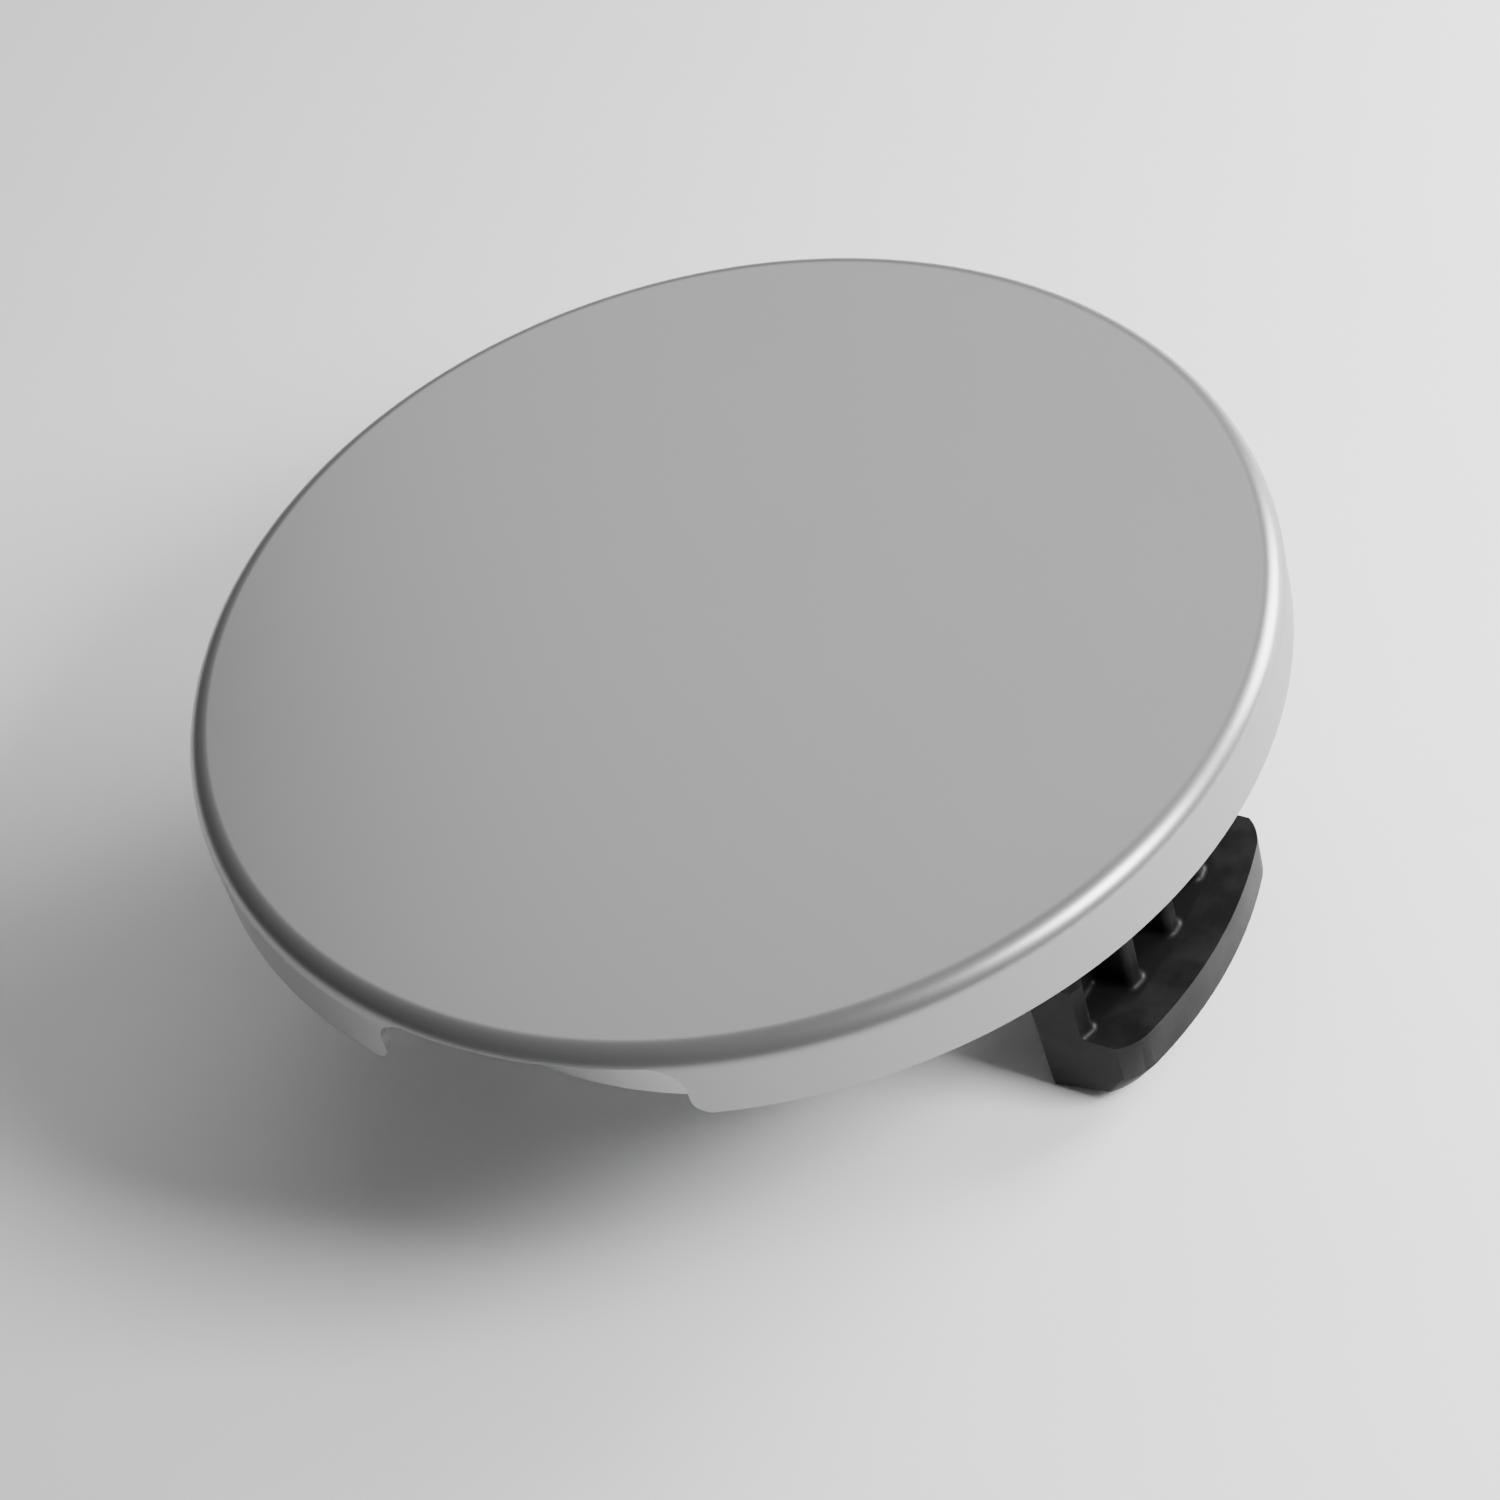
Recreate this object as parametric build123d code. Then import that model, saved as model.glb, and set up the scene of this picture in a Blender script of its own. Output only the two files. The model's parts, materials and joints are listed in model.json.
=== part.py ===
from build123d import *
import math
import os

# Round locking access cover: a smooth dished steel cover whose skirt sits on a
# ground frame, a locating spigot under it, and two ribbed claws that a cam
# disc pulls in from under the frame when its lever is swung along the hand
# notch in the skirt. Millimetres, +Z up. The claws lie on the X axis, and the
# origin is on the cover's axis at the height of the claws' lowest edge.
# Heights below are measured from the skirt's lower edge, and export_part lifts
# every piece by CLAW_DEPTH.

os.makedirs("parts", exist_ok=True)

# ---- driving dimensions ----
COVER_R = 365.0            # outside radius of the skirt
COVER_H = 55.0             # skirt edge to top face
EDGE_R = 16.0              # rounded edge between top and skirt
PLATE_T = 6.0              # pressed plate, top and skirt
NOTCH_AZ = -81.8           # direction of the hand notch, degrees
NOTCH_W = 207.0
NOTCH_H = 44.0
NOTCH_TOP_R = 22.0
NOTCH_FOOT_R = 14.0

SPIGOT_R = 274.0           # outside radius of the locating spigot
SPIGOT_T = 5.0
SPIGOT_DROP = 97.0         # how far it reaches below the skirt edge
SPIGOT_RIM_R = 2.0
FLANGE_W = 30.0            # bolting flange at the spigot's top
FLANGE_T = 6.0
SPIGOT_STUDS = 12
SPIGOT_STUD_D = 10.0
STUD_HOLE_GAP = 0.5        # radial gap round a stud

SEAL_T = 6.0               # rubber ring round the spigot
SEAL_LIP = 5.0
SEAL_H = 18.0
SEAL_TOP = -10.0
SEAL_LIP_H = 4.0
BAND_T = 1.2
BAND_GAP = 0.5
BAND_AZ = 100.0

STIFFENER_T = 6.0
STIFFENER_H = 12.0
STIFFENERS = 4
GUSSET_H = 22.0
GUSSET_TOE = 6.0
GUSSET_ANGLES = (-112.5, -22.5, 22.5, 67.5, 112.5, 157.5, 202.5)
WELD_GAP = 0.5             # root gap at welded ends

PIVOT_D = 25.0             # shoulder of the pivot stud
PIVOT_THREAD_D = 20.0
PIVOT_RUNNING = 0.05       # radial running clearance of the bush
BOSS_D = 70.0
DISC_R = 140.0
DISC_T = 8.0
HUB_D = 60.0
HUB_L = 33.0               # hub below the disc
BUSH_OD = 32.0
BUSH_FLANGE_D = 44.0
BUSH_FLANGE_T = 3.0
THRUST_GAP = 0.5
KEEPER_D = 116.0
KEEPER_T = 6.0
PIVOT_NUT_H = 16.0
PIVOT_NUT_AF = 30.0
PIVOT_WASHER_T = 3.0
PIVOT_WASHER_D = 37.0
PIVOT_TAIL = 9.0
SPLIT_PIN_D = 4.0

SPRING_WIRE = 5.0
SPRING_R = 38.0            # mean radius of the coil
SPRING_TURNS = 4.0
SPRING_PITCH = 5.2
SPRING_LEG = 26.0
SPRING_LIFT = 1.2          # coil above the keeper plate, so that its legs clear
PEG_D = 8.0
PEG_GAP = 0.3

LEVER_W = 30.0
LEVER_T = 8.0
LEVER_IN = 34.0
LEVER_OUT = 332.0
LEVER_SWING = 28.0         # degrees from locked to free
LEVER_BOLT_D = 10.0
LEVER_BOLT_RADII = (58.0, 112.0)
LEVER_HEAD_H = 6.5
GRIP_GAP = 12.0            # grip from the spigot
GRIP_WALL = 4.5
BUFFER_T = 8.0
BUFFER_GAP = 0.5
WINDOW_GAP = 6.0           # above and below the lever arm

CAM_LEAD = 69.5            # claw travel per radian of the cam disc
CAM_PIN_R0 = 105.0         # cam pin radius with the claws out
CAM_PIN_D = 16.0
CAM_SLOT_GAP = 0.4
CLIP_T = 1.5
CLIP_W = 5.0

SLIDE_W = 60.0
SLIDE_T = 10.0
SLIDE_IN = 76.0
SLIDE_GAP = 0.4            # above and below the slide bar
SLIDE_SIDE_GAP = 0.5
PAD_T = 4.0
PAD_W = 54.0
PAD_IN = 92.0
RAIL_T = 5.0
RAIL_LIP = 6.0
RAIL_FLANGE = 28.0
RAIL_CLEAR = 10.0          # rail ends from the cam disc
RAIL_END_GAP = 13.0        # rail ends from the spigot
RAIL_BEND_R = 3.0
RAIL_STUD_D = 8.0
RAIL_STUDS = 3

CLAW_DEPTH = 206.0         # lowest edge below the skirt edge
CLAW_HALF_W = 104.0
CLAW_BLANK = 6.0           # casting blank trimmed off each end
CLAW_R = 328.0             # outside radius of the hooked flange
CLAW_CORNER_R = 36.0
CLAW_TOP = 101.0           # wide part starts this far below the skirt edge
LEDGE_DROP = 146.0
FLANGE_DROP = 178.0        # lower edge of the flange's outer wall
TOE_TAPER = 36.0           # degrees, below the outer wall
SOLE_RISE = 12.2           # degrees that the sole climbs from the web outwards
WEB_SETBACK = 11.2         # web behind the spigot's face
WEB_T = 13.8               # at the sole
WEB_DRAFT = 3.6            # degrees
RIB_R = 296.0              # rib fronts, and so the frame's clear opening
RIB_W = 14.6
RIBS = 5
RIB_CORNER_R = 5.0
RIB_FOOT_R = 5.0
CAST_EDGE_R = 2.5
NECK_HALF_W = 50.0
NECK_T = 17.0
NECK_GAP = 7.0             # neck from the spigot
NECK_TOP = 24.0
BLOCK_HALF_W = 22.0
BLOCK_L = 32.0
CLAW_BOLT_D = 10.0
CLAW_BOLT_Y = 11.0
CLAW_BOLT_SETBACK = 16.0
CLAW_BOLT_L = 34.0
CLAW_HEAD_RIM = 4.5        # countersunk head beyond the shank

# ---- shop details ----
NUT_10 = (8.0, 17.0)       # height and width across flats
NUT_8 = (6.5, 13.0)
WASHER_R = 10.0
WASHER_T = 2.0
STUD_TAIL = 1.5            # stud end beyond its nut
CROWN_SHARE = 0.56         # nut crown radius as a share of the flats
CROWN_EASE = 0.9
EDGE_BREAK = 1.0           # chamfer on turned and cut parts
TAIL_EASE = 1.5
BITE = 1.0                 # how far a cutting tool runs past a face
PIN_PROUD = 6.0            # split pin beyond the thread on each side
PIN_EYE_R = 3.4
PIN_EYE_WIRE = 1.6
SEAL_LIP_R = 1.2
SCREW_BOX_T = 7.0          # housing of the band's screw
SCREW_BOX_HALF = 11.0
BAND_SCREW_R = 2.6
BAND_SCREW_L = 34.0
CLIP_DROP = 1.0            # clip below the cam disc
PIN_TAIL = 3.0             # cam pin below its clip
SLIDE_CORNER_R = 4.0
PAD_CORNER_R = 5.0
BUFFER_PROUD = 4.0         # buffer beyond both faces of the spigot
BUFFER_CORNER_R = 1.5
GRIP_EDGE_R = 4.0
ARM_END_EASE = 3.0
DISC_GAP = 1.2             # rail lip to cam disc
NEAR = 0.01                # tolerance for picking edges by place

# ---- heights and places that follow ----
UNDERSIDE = COVER_H - PLATE_T
SKIRT_IN = COVER_R - PLATE_T
SPIGOT_IN = SPIGOT_R - SPIGOT_T
FLANGE_R = SPIGOT_R + FLANGE_W
GRIP_IN = SPIGOT_R + GRIP_GAP
RAIL_IN = DISC_R + RAIL_CLEAR
RAIL_OUT = SPIGOT_IN - RAIL_END_GAP
NECK_OUT = SPIGOT_IN - NECK_GAP
BLOCK_IN = NECK_OUT - BLOCK_L
CLAW_BOLT_X = NECK_OUT - CLAW_BOLT_SETBACK
WEB_OUT = SPIGOT_R - WEB_SETBACK
WEB_IN_BOTTOM = WEB_OUT - WEB_T
STUD_CIRCLE_R = SPIGOT_R + FLANGE_W / 2 + 1.0
SLIDE_TOP = UNDERSIDE - PAD_T - SLIDE_GAP
SLIDE_BOTTOM = SLIDE_TOP - SLIDE_T
SLIDE_HALF = SLIDE_W / 2
RAIL_LIP_TOP = SLIDE_BOTTOM - SLIDE_GAP
RAIL_BOTTOM = RAIL_LIP_TOP - RAIL_T
DISC_TOP = RAIL_LIP_TOP - DISC_GAP
DISC_BOTTOM = DISC_TOP - DISC_T
HUB_BOTTOM = DISC_BOTTOM - HUB_L
BOSS_BOTTOM = DISC_TOP + THRUST_GAP
KEEPER_TOP = HUB_BOTTOM - BUSH_FLANGE_T - THRUST_GAP
KEEPER_BOTTOM = KEEPER_TOP - KEEPER_T
WASHER_BOTTOM = KEEPER_BOTTOM - PIVOT_WASHER_T
PIVOT_NUT_BOTTOM = WASHER_BOTTOM - PIVOT_NUT_H
LEVER_TOP = DISC_BOTTOM
LEVER_BOTTOM = LEVER_TOP - LEVER_T
LEVER_REST = NOTCH_AZ - LEVER_SWING / 2
LEVER_FREE = NOTCH_AZ + LEVER_SWING / 2
PEG_OUT = SPRING_R + SPRING_WIRE / 2 + PEG_D / 2 + PEG_GAP
PEG_ALONG = SPRING_LEG - PEG_D
TRAVEL = CAM_LEAD * math.radians(LEVER_SWING)
WEB_IN_TOP = WEB_IN_BOTTOM - (CLAW_DEPTH - CLAW_TOP) * math.tan(math.radians(WEB_DRAFT))


def export_part(name, shape):
    """Lift a piece's solids to their place in the part's frame and write the STEP file."""
    lift = Location((0, 0, CLAW_DEPTH))
    solids = [solid.moved(lift) for solid in shape.solids()]
    placed = solids[0] if len(solids) == 1 else Compound(solids)
    placed.label = name
    export_step(placed, f"parts/{name}.step")


def bar(x0, x1, y0, y1, z0, z1):
    """A block given by its two corners."""
    size = (x1 - x0, y1 - y0, z1 - z0)
    return Pos((x0 + x1) / 2, (y0 + y1) / 2, (z0 + z1) / 2) * Box(*size)


def rod(radius, z0, z1, x=0.0, y=0.0):
    """A round bar along Z."""
    return Pos(x, y, (z0 + z1) / 2) * Cylinder(radius, z1 - z0)


def ring(r_out, r_in, z0, z1):
    """A plain ring round the cover's axis."""
    return rod(r_out, z0, z1) - rod(r_in, z0 - BITE, z1 + BITE)


def hex_prism(across_flats, z0, z1, hole_d):
    """A nut or bolt head along Z with its bore; hole_d 0 leaves it solid."""
    hexagon = RegularPolygon(across_flats / 2, 6, major_radius=False)
    body = extrude(Pos(0, 0, z0) * hexagon, z1 - z0)
    crown = rod(across_flats * CROWN_SHARE, z0, z1)
    crown = chamfer(crown.edges().group_by(Axis.Z)[0] + crown.edges().group_by(Axis.Z)[-1], CROWN_EASE)
    body = body & crown
    if hole_d:
        body = body - rod(hole_d / 2, z0 - BITE, z1 + BITE)
    return body


def polar(radius, degrees):
    """X and Y of a point given by its radius and direction."""
    angle = math.radians(degrees)
    return radius * math.cos(angle), radius * math.sin(angle)


def turned(shape, degrees):
    """The shape turned about the cover's axis."""
    return Rot(0, 0, degrees) * shape


def group(shapes):
    """Separate solids that share one node."""
    return Compound([solid for shape in shapes for solid in shape.solids()])


def half_section(radius, height, corner):
    """The half section of a dished disc, from its axis to its rim."""
    face = Pos(radius / 2, height / 2) * Rectangle(radius, height)
    rim = face.vertices().sort_by(lambda v: v.X + v.Y)[-1]
    return fillet(rim, corner)


# ---- the cover and its spigot ----
def notch_cutter():
    """Slot through the skirt with rounded top corners and eased feet."""
    reach = 20.0
    slot = Pos(0, NOTCH_H / 2) * Rectangle(NOTCH_W, NOTCH_H)
    below = Pos(0, -reach / 2) * Rectangle(NOTCH_W + 4 * NOTCH_FOOT_R, reach)
    outline = slot + below
    top = outline.vertices().group_by(Axis.Y)[-1]
    outline = fillet(top, NOTCH_TOP_R)
    feet = [v for v in outline.vertices() if abs(v.Y) < NEAR and abs(abs(v.X) - NOTCH_W / 2) < NEAR]
    outline = fillet(feet, NOTCH_FOOT_R)
    ux, uy = polar(1.0, NOTCH_AZ)
    plane = Plane(origin=(0, 0, 0), x_dir=(-uy, ux, 0), z_dir=(ux, uy, 0))
    return extrude(plane.offset(SKIRT_IN - reach) * outline, 2 * reach + PLATE_T)


def make_cover_shell():
    """The pressed cover: top plate, rounded edge and skirt in one."""
    wall = half_section(COVER_R, COVER_H, EDGE_R)
    wall = wall - half_section(SKIRT_IN, UNDERSIDE, EDGE_R - PLATE_T)
    shell = revolve(Plane.XZ * wall, Axis.Z, 360)
    shell = fillet(shell.edges().group_by(Axis.Z)[0], EDGE_BREAK)
    return shell - notch_cutter()


def lever_window():
    """Opening in the spigot that the lever arm sweeps through."""
    z0 = LEVER_BOTTOM - WINDOW_GAP
    z1 = LEVER_TOP + WINDOW_GAP
    wall = Pos(SPIGOT_R - SPIGOT_T / 2, (z0 + z1) / 2) * Rectangle(4 * SPIGOT_T, z1 - z0)
    sweep_cut = turned(revolve(Plane.XZ * wall, Axis.Z, LEVER_SWING), LEVER_REST)
    side = LEVER_W / 2 + BUFFER_GAP + BUFFER_T
    end = bar(SPIGOT_R - 4 * SPIGOT_T, SPIGOT_R + 4 * SPIGOT_T, -side, side, z0, z1)
    return sweep_cut + turned(end, LEVER_REST) + turned(end, LEVER_FREE)


def make_spigot():
    """Rolled ring with the lever window, and the bolting flange round its top."""
    tube = ring(SPIGOT_R, SPIGOT_IN, -SPIGOT_DROP, UNDERSIDE)
    tube = fillet(tube.edges().group_by(Axis.Z)[0], SPIGOT_RIM_R)
    export_part("spigot", tube - lever_window())
    flange = ring(FLANGE_R, SPIGOT_R, UNDERSIDE - FLANGE_T, UNDERSIDE)
    flange = chamfer(flange.edges().group_by(Axis.Z)[0].sort_by(SortBy.LENGTH)[-1], EDGE_BREAK)
    holes = [rod(SPIGOT_STUD_D / 2 + STUD_HOLE_GAP, UNDERSIDE - FLANGE_T - BITE, UNDERSIDE + BITE, *place)
             for place in stud_places()]
    export_part("spigot_flange", flange - holes)


def stud_places():
    """Centres of the studs that hold the spigot."""
    step = 360 / SPIGOT_STUDS
    return [polar(STUD_CIRCLE_R, step * (i + 0.5)) for i in range(SPIGOT_STUDS)]


def make_spigot_fasteners():
    """Weld studs, washers and nuts on the spigot's flange."""
    flange_face = UNDERSIDE - FLANGE_T
    washer_face = flange_face - WASHER_T
    nut_face = washer_face - NUT_10[0]
    stud = rod(SPIGOT_STUD_D / 2, nut_face - STUD_TAIL, UNDERSIDE)
    washer = ring(WASHER_R, SPIGOT_STUD_D / 2, washer_face, flange_face)
    nut = hex_prism(NUT_10[1], nut_face, washer_face, SPIGOT_STUD_D)
    for name, piece in (("stud", stud), ("washer", washer), ("nut", nut)):
        export_part(f"spigot_{name}s", group([Pos(x, y) * piece for x, y in stud_places()]))


def make_seal():
    """Rubber odour ring round the spigot, its band and the band's screw."""
    bottom = SEAL_TOP - SEAL_H
    base_r = SPIGOT_R + SEAL_T
    seal = ring(base_r + SEAL_LIP, SPIGOT_R, bottom, SEAL_TOP)
    groove = ring(base_r + SEAL_LIP + BITE, base_r, bottom + SEAL_LIP_H, SEAL_TOP - SEAL_LIP_H)
    seal = seal - groove
    lips = [e for e in seal.edges() if e.geom_type == GeomType.CIRCLE and e.radius > base_r + BITE]
    export_part("seal_ring", fillet(lips, SEAL_LIP_R))
    low = bottom + SEAL_LIP_H + BAND_GAP
    high = SEAL_TOP - SEAL_LIP_H - BAND_GAP
    export_part("seal_band", ring(base_r + BAND_T, base_r, low, high))
    middle = (low + high) / 2
    outside = base_r + BAND_T
    housing = bar(outside, outside + SCREW_BOX_T, -SCREW_BOX_HALF, SCREW_BOX_HALF, low, high)
    housing = fillet(housing.edges(), EDGE_BREAK)
    screw = Pos(outside + SCREW_BOX_T / 2, 0, middle) * Rot(90, 0, 0) * Cylinder(BAND_SCREW_R, BAND_SCREW_L)
    export_part("band_screw", turned(housing + screw, BAND_AZ))


def make_stiffeners():
    """Flat bars on edge under the plate, from the boss to the spigot."""
    blade = bar(BOSS_D / 2 + WELD_GAP, SPIGOT_IN - WELD_GAP, -STIFFENER_T / 2, STIFFENER_T / 2,
                UNDERSIDE - STIFFENER_H, UNDERSIDE)
    ends = blade.edges().filter_by(Axis.Y).group_by(Axis.Z)[0]
    blade = chamfer(ends, STIFFENER_H / 2)
    for i in range(STIFFENERS):
        export_part(f"stiffener_{i + 1}", turned(blade, 45 + 360 / STIFFENERS * i))


def make_gussets():
    """Triangular plates that tie the skirt to the top plate."""
    inner = FLANGE_R + WELD_GAP
    outer = SKIRT_IN - WELD_GAP
    round_in = EDGE_R - PLATE_T + WELD_GAP * 2
    foot = UNDERSIDE - GUSSET_H - round_in
    outline = Polygon((inner, UNDERSIDE), (outer - round_in, UNDERSIDE), (outer, UNDERSIDE - round_in),
                      (outer, foot), (outer - GUSSET_TOE, foot), (inner, UNDERSIDE - GUSSET_TOE), align=None)
    blade = extrude(Plane.XZ * outline, STIFFENER_T / 2, both=True)
    for i, angle in enumerate(GUSSET_ANGLES):
        export_part(f"gusset_{i + 1}", turned(blade, angle))


# ---- pivot, cam disc and lever ----
def make_pivot():
    """Boss, shoulder stud and what is clamped on it."""
    boss = ring(BOSS_D / 2, PIVOT_D / 2, BOSS_BOTTOM, UNDERSIDE)
    export_part("pivot_boss", chamfer(boss.edges().group_by(Axis.Z)[0], EDGE_BREAK))
    tail_end = PIVOT_NUT_BOTTOM - PIVOT_TAIL
    tail = rod(PIVOT_THREAD_D / 2, tail_end, KEEPER_TOP)
    tail = chamfer(tail.edges().group_by(Axis.Z)[0], TAIL_EASE)
    pin_z = PIVOT_NUT_BOTTOM - PIVOT_TAIL / 2
    across = Pos(0, 0, pin_z) * Rot(90, 0, 0)
    stud = rod(PIVOT_D / 2, KEEPER_TOP, UNDERSIDE) + tail
    export_part("pivot_stud", stud - across * Cylinder(SPLIT_PIN_D / 2, 4 * PIVOT_D))
    pin = across * Cylinder(SPLIT_PIN_D / 2, PIVOT_THREAD_D + 2 * PIN_PROUD)
    eye_y = -PIVOT_THREAD_D / 2 - PIN_PROUD - PIN_EYE_WIRE
    eye = Pos(0, eye_y, pin_z) * Rot(0, 90, 0) * Torus(PIN_EYE_R, PIN_EYE_WIRE)
    export_part("split_pin", pin + eye)
    washer = ring(PIVOT_WASHER_D / 2, PIVOT_THREAD_D / 2, WASHER_BOTTOM, KEEPER_BOTTOM)
    export_part("pivot_washer", washer)
    nut = hex_prism(PIVOT_NUT_AF, PIVOT_NUT_BOTTOM, WASHER_BOTTOM, PIVOT_THREAD_D)
    export_part("pivot_nut", nut)
    keeper = ring(KEEPER_D / 2, PIVOT_THREAD_D / 2, KEEPER_BOTTOM, KEEPER_TOP)
    keeper = chamfer(keeper.edges().group_by(Axis.Z)[-1].sort_by(SortBy.LENGTH)[-1], EDGE_BREAK)
    export_part("spring_keeper", keeper - turned(keeper_peg(), spring_start()))
    export_part("keeper_peg", turned(keeper_peg(), spring_start()))


def spring_start():
    """Direction of both ends of the coil, a quarter turn behind the lever."""
    return LEVER_REST - 90 - 360 * SPRING_TURNS


def keeper_peg():
    """Peg on the keeper plate, outside the coil's lower leg."""
    return rod(PEG_D / 2, KEEPER_BOTTOM, KEEPER_TOP + SPRING_WIRE + PIN_TAIL, PEG_OUT, -PEG_ALONG)


def make_spring():
    """Torsion spring between the keeper plate and the cam disc."""
    height = SPRING_TURNS * SPRING_PITCH
    low = KEEPER_TOP + SPRING_WIRE / 2 + SPRING_LIFT
    winding = Helix(SPRING_PITCH, height, SPRING_R)
    lower = Line(winding @ 0 - (winding % 0) * SPRING_LEG, winding @ 0)
    upper = Line(winding @ 1, winding @ 1 + (winding % 1) * SPRING_LEG)
    path = Wire([lower, winding, upper])
    section = Plane(origin=path @ 0, z_dir=path % 0) * Circle(SPRING_WIRE / 2)
    spring = Pos(0, 0, low) * sweep(section, path=path, is_frenet=True)
    export_part("torsion_spring", turned(spring, spring_start()))


def scroll_slot(extra):
    """Cam slot: its middle comes in by CAM_LEAD for each radian of turn."""
    half = CAM_PIN_D / 2 + extra
    swing = math.radians(LEVER_SWING)
    steps = 8

    def point(t, side):
        r = CAM_PIN_R0 - CAM_LEAD * t
        dx = -CAM_LEAD * math.cos(t) - r * math.sin(t)
        dy = CAM_LEAD * math.sin(t) - r * math.cos(t)
        length = math.hypot(dx, dy)
        return (r * math.cos(t) - side * dy / length, -r * math.sin(t) + side * dx / length)

    turns = [swing * i / steps for i in range(steps + 1)]
    left = Spline([point(t, half) for t in turns])
    right = Spline([point(t, -half) for t in turns])
    slot = make_face([left, right, Line(left @ 0, right @ 0), Line(left @ 1, right @ 1)])
    for t in (0.0, swing):
        slot = slot + Pos(*point(t, 0)) * Circle(half)
    return slot


def make_cam_disc():
    """Disc with two scroll slots and a hub for the bush."""
    disc = rod(DISC_R, DISC_BOTTOM, DISC_TOP)
    disc = chamfer(disc.edges().group_by(Axis.Z)[0] + disc.edges().group_by(Axis.Z)[-1], EDGE_BREAK)
    hub = rod(HUB_D / 2, HUB_BOTTOM, DISC_BOTTOM)
    body = disc + hub - rod(BUSH_OD / 2, HUB_BOTTOM - BITE, DISC_TOP + BITE)
    slot = extrude(Pos(0, 0, DISC_BOTTOM - BITE) * scroll_slot(CAM_SLOT_GAP), DISC_T + 2 * BITE)
    body = body - slot - turned(slot, 180)
    for radius in LEVER_BOLT_RADII:
        x, y = polar(radius, LEVER_REST)
        body = body - rod(LEVER_BOLT_D / 2 + STUD_HOLE_GAP, DISC_BOTTOM - BITE, DISC_TOP + BITE, x, y)
    export_part("cam_disc", body)
    bush = ring(BUSH_OD / 2, PIVOT_D / 2 + PIVOT_RUNNING, HUB_BOTTOM, DISC_TOP)
    flange = ring(BUSH_FLANGE_D / 2, PIVOT_D / 2 + PIVOT_RUNNING, HUB_BOTTOM - BUSH_FLANGE_T, HUB_BOTTOM)
    export_part("hub_bush", bush + flange)


def make_lever():
    """Lever arm with its bolts and grip, and the peg that the spring pushes on."""
    arm = bar(LEVER_IN, LEVER_OUT, -LEVER_W / 2, LEVER_W / 2, LEVER_BOTTOM, LEVER_TOP)
    arm = fillet(arm.edges().filter_by(Axis.Z).group_by(Axis.X)[-1], LEVER_W / 2 - ARM_END_EASE)
    for radius in LEVER_BOLT_RADII:
        arm = arm - rod(LEVER_BOLT_D / 2 + STUD_HOLE_GAP, LEVER_BOTTOM - BITE, LEVER_TOP + BITE, radius)
    export_part("lever_arm", turned(arm, LEVER_REST))
    low = KEEPER_TOP + SPRING_TURNS * SPRING_PITCH - SPRING_WIRE / 2
    peg = rod(PEG_D / 2, low, DISC_BOTTOM, PEG_OUT, PEG_ALONG)
    export_part("cam_peg", turned(peg, spring_start()))
    head = hex_prism(NUT_10[1], DISC_TOP, DISC_TOP + LEVER_HEAD_H, 0)
    shank = rod(LEVER_BOLT_D / 2, LEVER_BOTTOM - NUT_10[0] - STUD_TAIL, DISC_TOP)
    bolts = [Pos(radius, 0) * (head + shank) for radius in LEVER_BOLT_RADII]
    export_part("lever_bolts", turned(group(bolts), LEVER_REST))
    nut = hex_prism(NUT_10[1], LEVER_BOTTOM - NUT_10[0], LEVER_BOTTOM, LEVER_BOLT_D)
    nuts = [Pos(radius, 0) * nut for radius in LEVER_BOLT_RADII]
    export_part("lever_nuts", turned(group(nuts), LEVER_REST))
    side = LEVER_W / 2 + GRIP_WALL
    low, high = LEVER_BOTTOM - GRIP_WALL, LEVER_TOP + GRIP_WALL
    grip = bar(GRIP_IN, LEVER_OUT + GRIP_WALL, -side, side, low, high)
    grip = fillet(grip.edges().filter_by(Axis.Z).group_by(Axis.X)[-1], LEVER_W / 2)
    grip = fillet(grip.edges().group_by(Axis.Z)[-1] + grip.edges().group_by(Axis.Z)[0], GRIP_EDGE_R)
    export_part("lever_grip", turned(grip - arm, LEVER_REST))


def make_buffers():
    """Rubber stops at the two ends of the lever window."""
    near = LEVER_W / 2 + BUFFER_GAP
    z0 = LEVER_BOTTOM - WINDOW_GAP
    z1 = LEVER_TOP + WINDOW_GAP
    block = bar(SPIGOT_IN - BUFFER_PROUD, SPIGOT_R + BUFFER_PROUD, near, near + BUFFER_T, z0, z1)
    block = fillet(block.edges().filter_by(Axis.Z), BUFFER_CORNER_R)
    other = mirror(block, Plane.XZ)
    export_part("lever_buffers", group([turned(other, LEVER_REST), turned(block, LEVER_FREE)]))


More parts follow.
